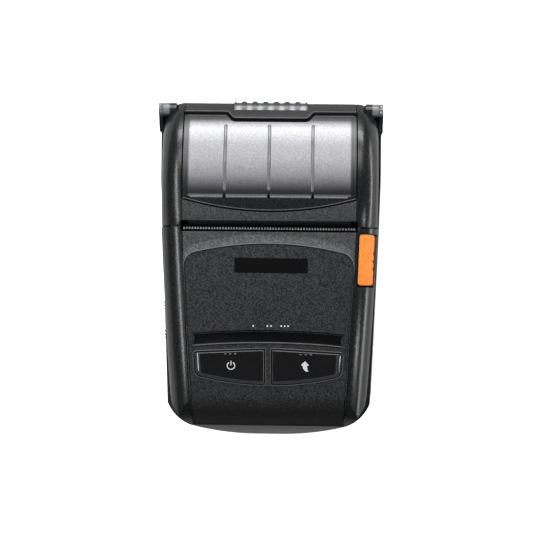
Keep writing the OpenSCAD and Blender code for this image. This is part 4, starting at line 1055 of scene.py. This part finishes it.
x, y = resampled(rounded(BAR_EDGE, BAR_CORNERS, 6), 160).T
laid("rear_bar_edge", on_lid, x, y, bead(0.45, 0.18), edge_painted_highlight, "lid")
laid("rear_bar_groove", on_lid, x, y - 0.42, bead(0.45, 0.06), groove_black, "lid")
laid("rear_bar_shade", on_lid, x, y - 1.10, bead(1.2, 0.03), groove_black, "lid")
for side, name in ((-1, "left"), (1, "right")):
    laid(f"window_rear_line_{name}", on_lid, side * REAR_LINE_X, REAR_LINE_Y, bead(0.35, 0.12),
        edge_painted_highlight, "lid")

# %% [markdown]
# Three ribs stiffen the window along its curve. Each is a half-round bar that follows the lid's
# arc and dies out at both ends, so its width and height share one end curve.

# %% Window ribs
RIBS_X, RIB_HALF, RIB_HEIGHT, RIB_FOOT = (-15.6, -0.2, 15.0), 0.58, 0.40, 0.06
RIB_FRONT, RIB_REAR, RIB_END = 27.6, 51.6, 0.03
RIB_ROWS, RIB_POINTS = 40, 13


def window_rib(name, x):
    """Half-round bar: side = half cos t, height = -foot + (height + foot) sin(t)^0.8, times the end.

    The end curve is a quarter circle over the share RIB_END of the length.
    """
    s, t = np.linspace(0, 1, RIB_ROWS), np.linspace(0, math.pi, RIB_POINTS)
    short = (1 - np.minimum(s, 1 - s) / RIB_END).clip(0, 1)
    end = np.sqrt(np.clip(1 - short ** 2, 0, 1))[:, None]
    across = x + RIB_HALF * (0.25 + 0.75 * end) * np.cos(t)
    height = -RIB_FOOT + (RIB_HEIGHT + RIB_FOOT) * end * np.sin(t) ** 0.8
    a0, a1 = (math.asin((y - LID_Y) / LID_R) for y in (RIB_FRONT, RIB_REAR))
    points = lid_point(across, (a0 + (a1 - a0) * s)[:, None], height)
    faces = grid_faces(RIB_ROWS, RIB_POINTS, wrap_v=True) + end_caps(RIB_ROWS, RIB_POINTS)
    return new_piece(name, points.reshape(-1, 3), faces, rib_m, "lid")


for k, x in enumerate(RIBS_X):
    window_rib(f"window_rib_{k + 1}", x)

# %% [markdown]
# The grip is a row of bars that give the fingers hold on the lid's rear edge. One sheet with a wave
# in its height makes them all, and an S-shaped curve squares the wave off, as moulded bars are.

# %% Hand grip
GRIP_HALF, GRIP_FROM, GRIP_TO = 13.1, 26.8, 29.6    # the last two along Y, from the lid's middle
GRIP_FOOT, GRIP_BASE, GRIP_BAR, GRIP_GROWS = 0.12, 0.22, 0.40, 0.30


def grip():
    """Bars across the rear edge: h = -foot + (base + bar (0.40 + 0.30 s)) ends body.

    bar is 1 / (1 + exp(-14 (wave - 0.58))), wave is 0.5 - 0.5 cos(2 pi x / pitch), ends falls to 0
    at both ends of the row, and body rises from 0 at the front as the root of s / 0.12.
    """
    u, s = np.meshgrid(np.linspace(0, 1, 241), np.linspace(0, 1, 25), indexing="ij")
    x = -GRIP_HALF + 2 * GRIP_HALF * u
    wave = 0.5 - 0.5 * np.cos(2 * math.pi * x / GRIP_PITCH_MM)
    bar = 1 / (1 + np.exp(-14 * (wave - 0.58)))
    ends = np.clip(np.minimum(u, 1 - u) / 0.015, 0, 1)
    body = np.clip(s / 0.12, 0, 1) ** 0.5
    h = -GRIP_FOOT + (GRIP_BASE + bar * (GRIP_BAR + GRIP_GROWS * s)) * ends * body
    a0, a1 = math.asin(GRIP_FROM / LID_R), math.asin(GRIP_TO / LID_R)
    a = a0 + (a1 - a0) * s
    return closed_sheet("lid_grip", lid_point(x, a, h), lid_point(x, a, -0.6), grip_painted_light, "lid")


grip()

# %% [markdown]
# The tear bar's teeth are ground bright. Each tooth is a flat prism, wide at its root and narrow at
# its tip, and one array makes the whole row.

# %% Teeth of the tear bar
TEETH, TOOTH_PITCH, FIRST_TOOTH_X = 62, 0.975, -29.75
TOOTH_ROOT_Y, TOOTH_LENGTH, ROOT_HALF, TIP_HALF = 14.50, 0.75, 0.36, 0.13
TOOTH_LOW_Z, TOOTH_HIGH_Z = 40.7, 40.98


def teeth():
    """Row of prisms: tooth k has its corners c at (first + pitch k + c_x, root + c_y)."""
    k = np.arange(TEETH)
    corner = np.array([
        [-ROOT_HALF, 0.0], [ROOT_HALF, 0.0], [TIP_HALF, TOOTH_LENGTH], [-TIP_HALF, TOOTH_LENGTH]])
    x = FIRST_TOOTH_X + TOOTH_PITCH * k[:, None] + corner[:, 0]
    y = TOOTH_ROOT_Y + np.broadcast_to(corner[:, 1], x.shape)
    layers = [np.stack([x, y, np.full(x.shape, z)], -1) for z in (TOOTH_LOW_Z, TOOTH_HIGH_Z)]
    block = np.array([
        [3, 2, 1, 0], [4, 5, 6, 7], [0, 1, 5, 4], [1, 2, 6, 5], [2, 3, 7, 6], [3, 0, 4, 7]])
    faces = (block[None] + 8 * k[:, None, None]).reshape(-1, 4)
    points = np.stack(layers, 1).reshape(-1, 3)
    return new_piece("tear_bar_edge", points, faces, blade, "base", smooth=False)


teeth()

# %% [markdown]
# The orange cap of the lever follows the rail's rounded shoulder, an arc of radius 8. Its outer
# edge has three small scallops for the fingertip. A black bead round it is its painted shadow on the rail.

# %% Lever cap
SHOULDER_X, SHOULDER_R, SHOULDER_WIDE = 30.2, 8.0, 7.8
LEVER_CORNERS = ([31.65, 13.1], [36.85, 13.0], [36.35, -4.7], [31.1, -4.6])
LEVER_CORNER_R, LEVER_SHADOW_OUT = 0.95, 0.16
SCALLOPS_Y, SCALLOP_DEEP, SCALLOP_WIDE, SCALLOP_BEYOND_X = (6.4, 3.7, 1.0), 0.33, 0.5, 36


def on_rail(x, y, h=0.0):
    """Points h above the right rail: its deck arc less R - sqrt(R^2 - over^2), R = SHOULDER_R.

    over is the distance outside the line where the shoulder starts, which tapers with the rail.
    """
    x, y = np.asarray(x, float), np.asarray(y, float)
    across = x - (y - TAPER_FROM_Y) * RAIL_TAPER
    deck = RAIL_TOP - RAIL_R + np.sqrt(RAIL_R ** 2 - (y - DECK_Y) ** 2)
    over = np.clip(across - SHOULDER_X, 0, SHOULDER_WIDE)
    up = np.sqrt(1 - (over / SHOULDER_R) ** 2)
    n = np.stack([over / SHOULDER_R, (y - DECK_Y) / RAIL_R, up], -1)
    n /= np.linalg.norm(n, axis=-1, keepdims=True)
    z = deck - SHOULDER_R + SHOULDER_R * up
    return np.stack([x, y, z], -1) + n * np.asarray(h)[..., None], n


def lever_loop(grow=0.0):
    """Outline of the cap: a leaning rectangle with round corners, less a dent at each scallop.

    A dent is SCALLOP_DEEP exp(-((y - place) / SCALLOP_WIDE)^2), on the outer edge only.
    """
    loop = rounded(inset(LEVER_CORNERS, [-grow] * 4), LEVER_CORNER_R + grow, 8)
    loop = resampled(np.concatenate([loop, loop[:1]]), 181)[:-1]
    dent = np.exp(-((loop[:, 1, None] - np.array(SCALLOPS_Y)) / SCALLOP_WIDE) ** 2).sum(1)
    loop[:, 0] -= np.where(loop[:, 0] > SCALLOP_BEYOND_X, SCALLOP_DEEP * dent, 0)
    return loop


def lever_cap():
    """Thin cap: rings of the outline up to 0.27 mm, drawn in towards its middle at the top."""
    outline = lever_loop()
    middle = outline.mean(0)
    shrunk = middle + (outline - middle) * [0.985, 0.995]
    rings = [(outline, -0.5), (outline, 0.10), (shrunk, 0.22)]
    rings += [(middle + (outline - middle) * f, 0.27) for f in (0.93, 0.8, 0.6, 0.4, 0.2, 0.03)]
    return stacked("lever_cap", rings, lambda x, y, n: on_rail(x, y, n)[0], orange, "lever", edges_deg=60)


lever_cap()
# A black bead round the cap, a little outside it, is its painted shadow on the rail.
laid("lever_cap_rim", lambda x, y: on_rail(x, y, 0.02), *lever_loop(LEVER_SHADOW_OUT).T, bead(0.40, 0.06),
    groove_black, "lever", closed=True)

# %% [markdown]
# The cover over the sockets is pulled open with a finger, so it has two groups of upright ridges.
# Only their tips stand out of the outline in the photograph. Each is a bead up the cover's face,
# which leans a little: its x changes by FACE_BY_Y and FACE_BY_Z per millimetre.

# %% Finger ridges of the port cover
RIDGES_Y, RIDGE_Z = (-11.6, -12.8, -14.0, -22.0, -23.2, -24.4), np.linspace(17.6, 22.6, 12)
FACE_X, FACE_BY_Y, FACE_BY_Z = -37.41, -0.04, 0.0567    # FACE_X holds at y = -30, z = 16
FACE_OUT = (-0.9976, -0.0399, 0.0566)                   # its direction outwards


def on_cover(y, z):
    """Points of the cover's face: x = FACE_X + FACE_BY_Y (y + 30) + FACE_BY_Z (z - 16)."""
    y, z = np.broadcast_arrays(np.asarray(y, float), np.asarray(z, float))
    points = np.stack([FACE_X + FACE_BY_Y * (y + 30) + FACE_BY_Z * (z - 16), y, z], -1)
    return points, np.broadcast_to(FACE_OUT, points.shape)


for k, y in enumerate(RIDGES_Y):
    laid(f"cover_ridge_{k + 1}", on_cover, y, RIDGE_Z, bead(0.6, 0.35), cover_rubber, "cover")
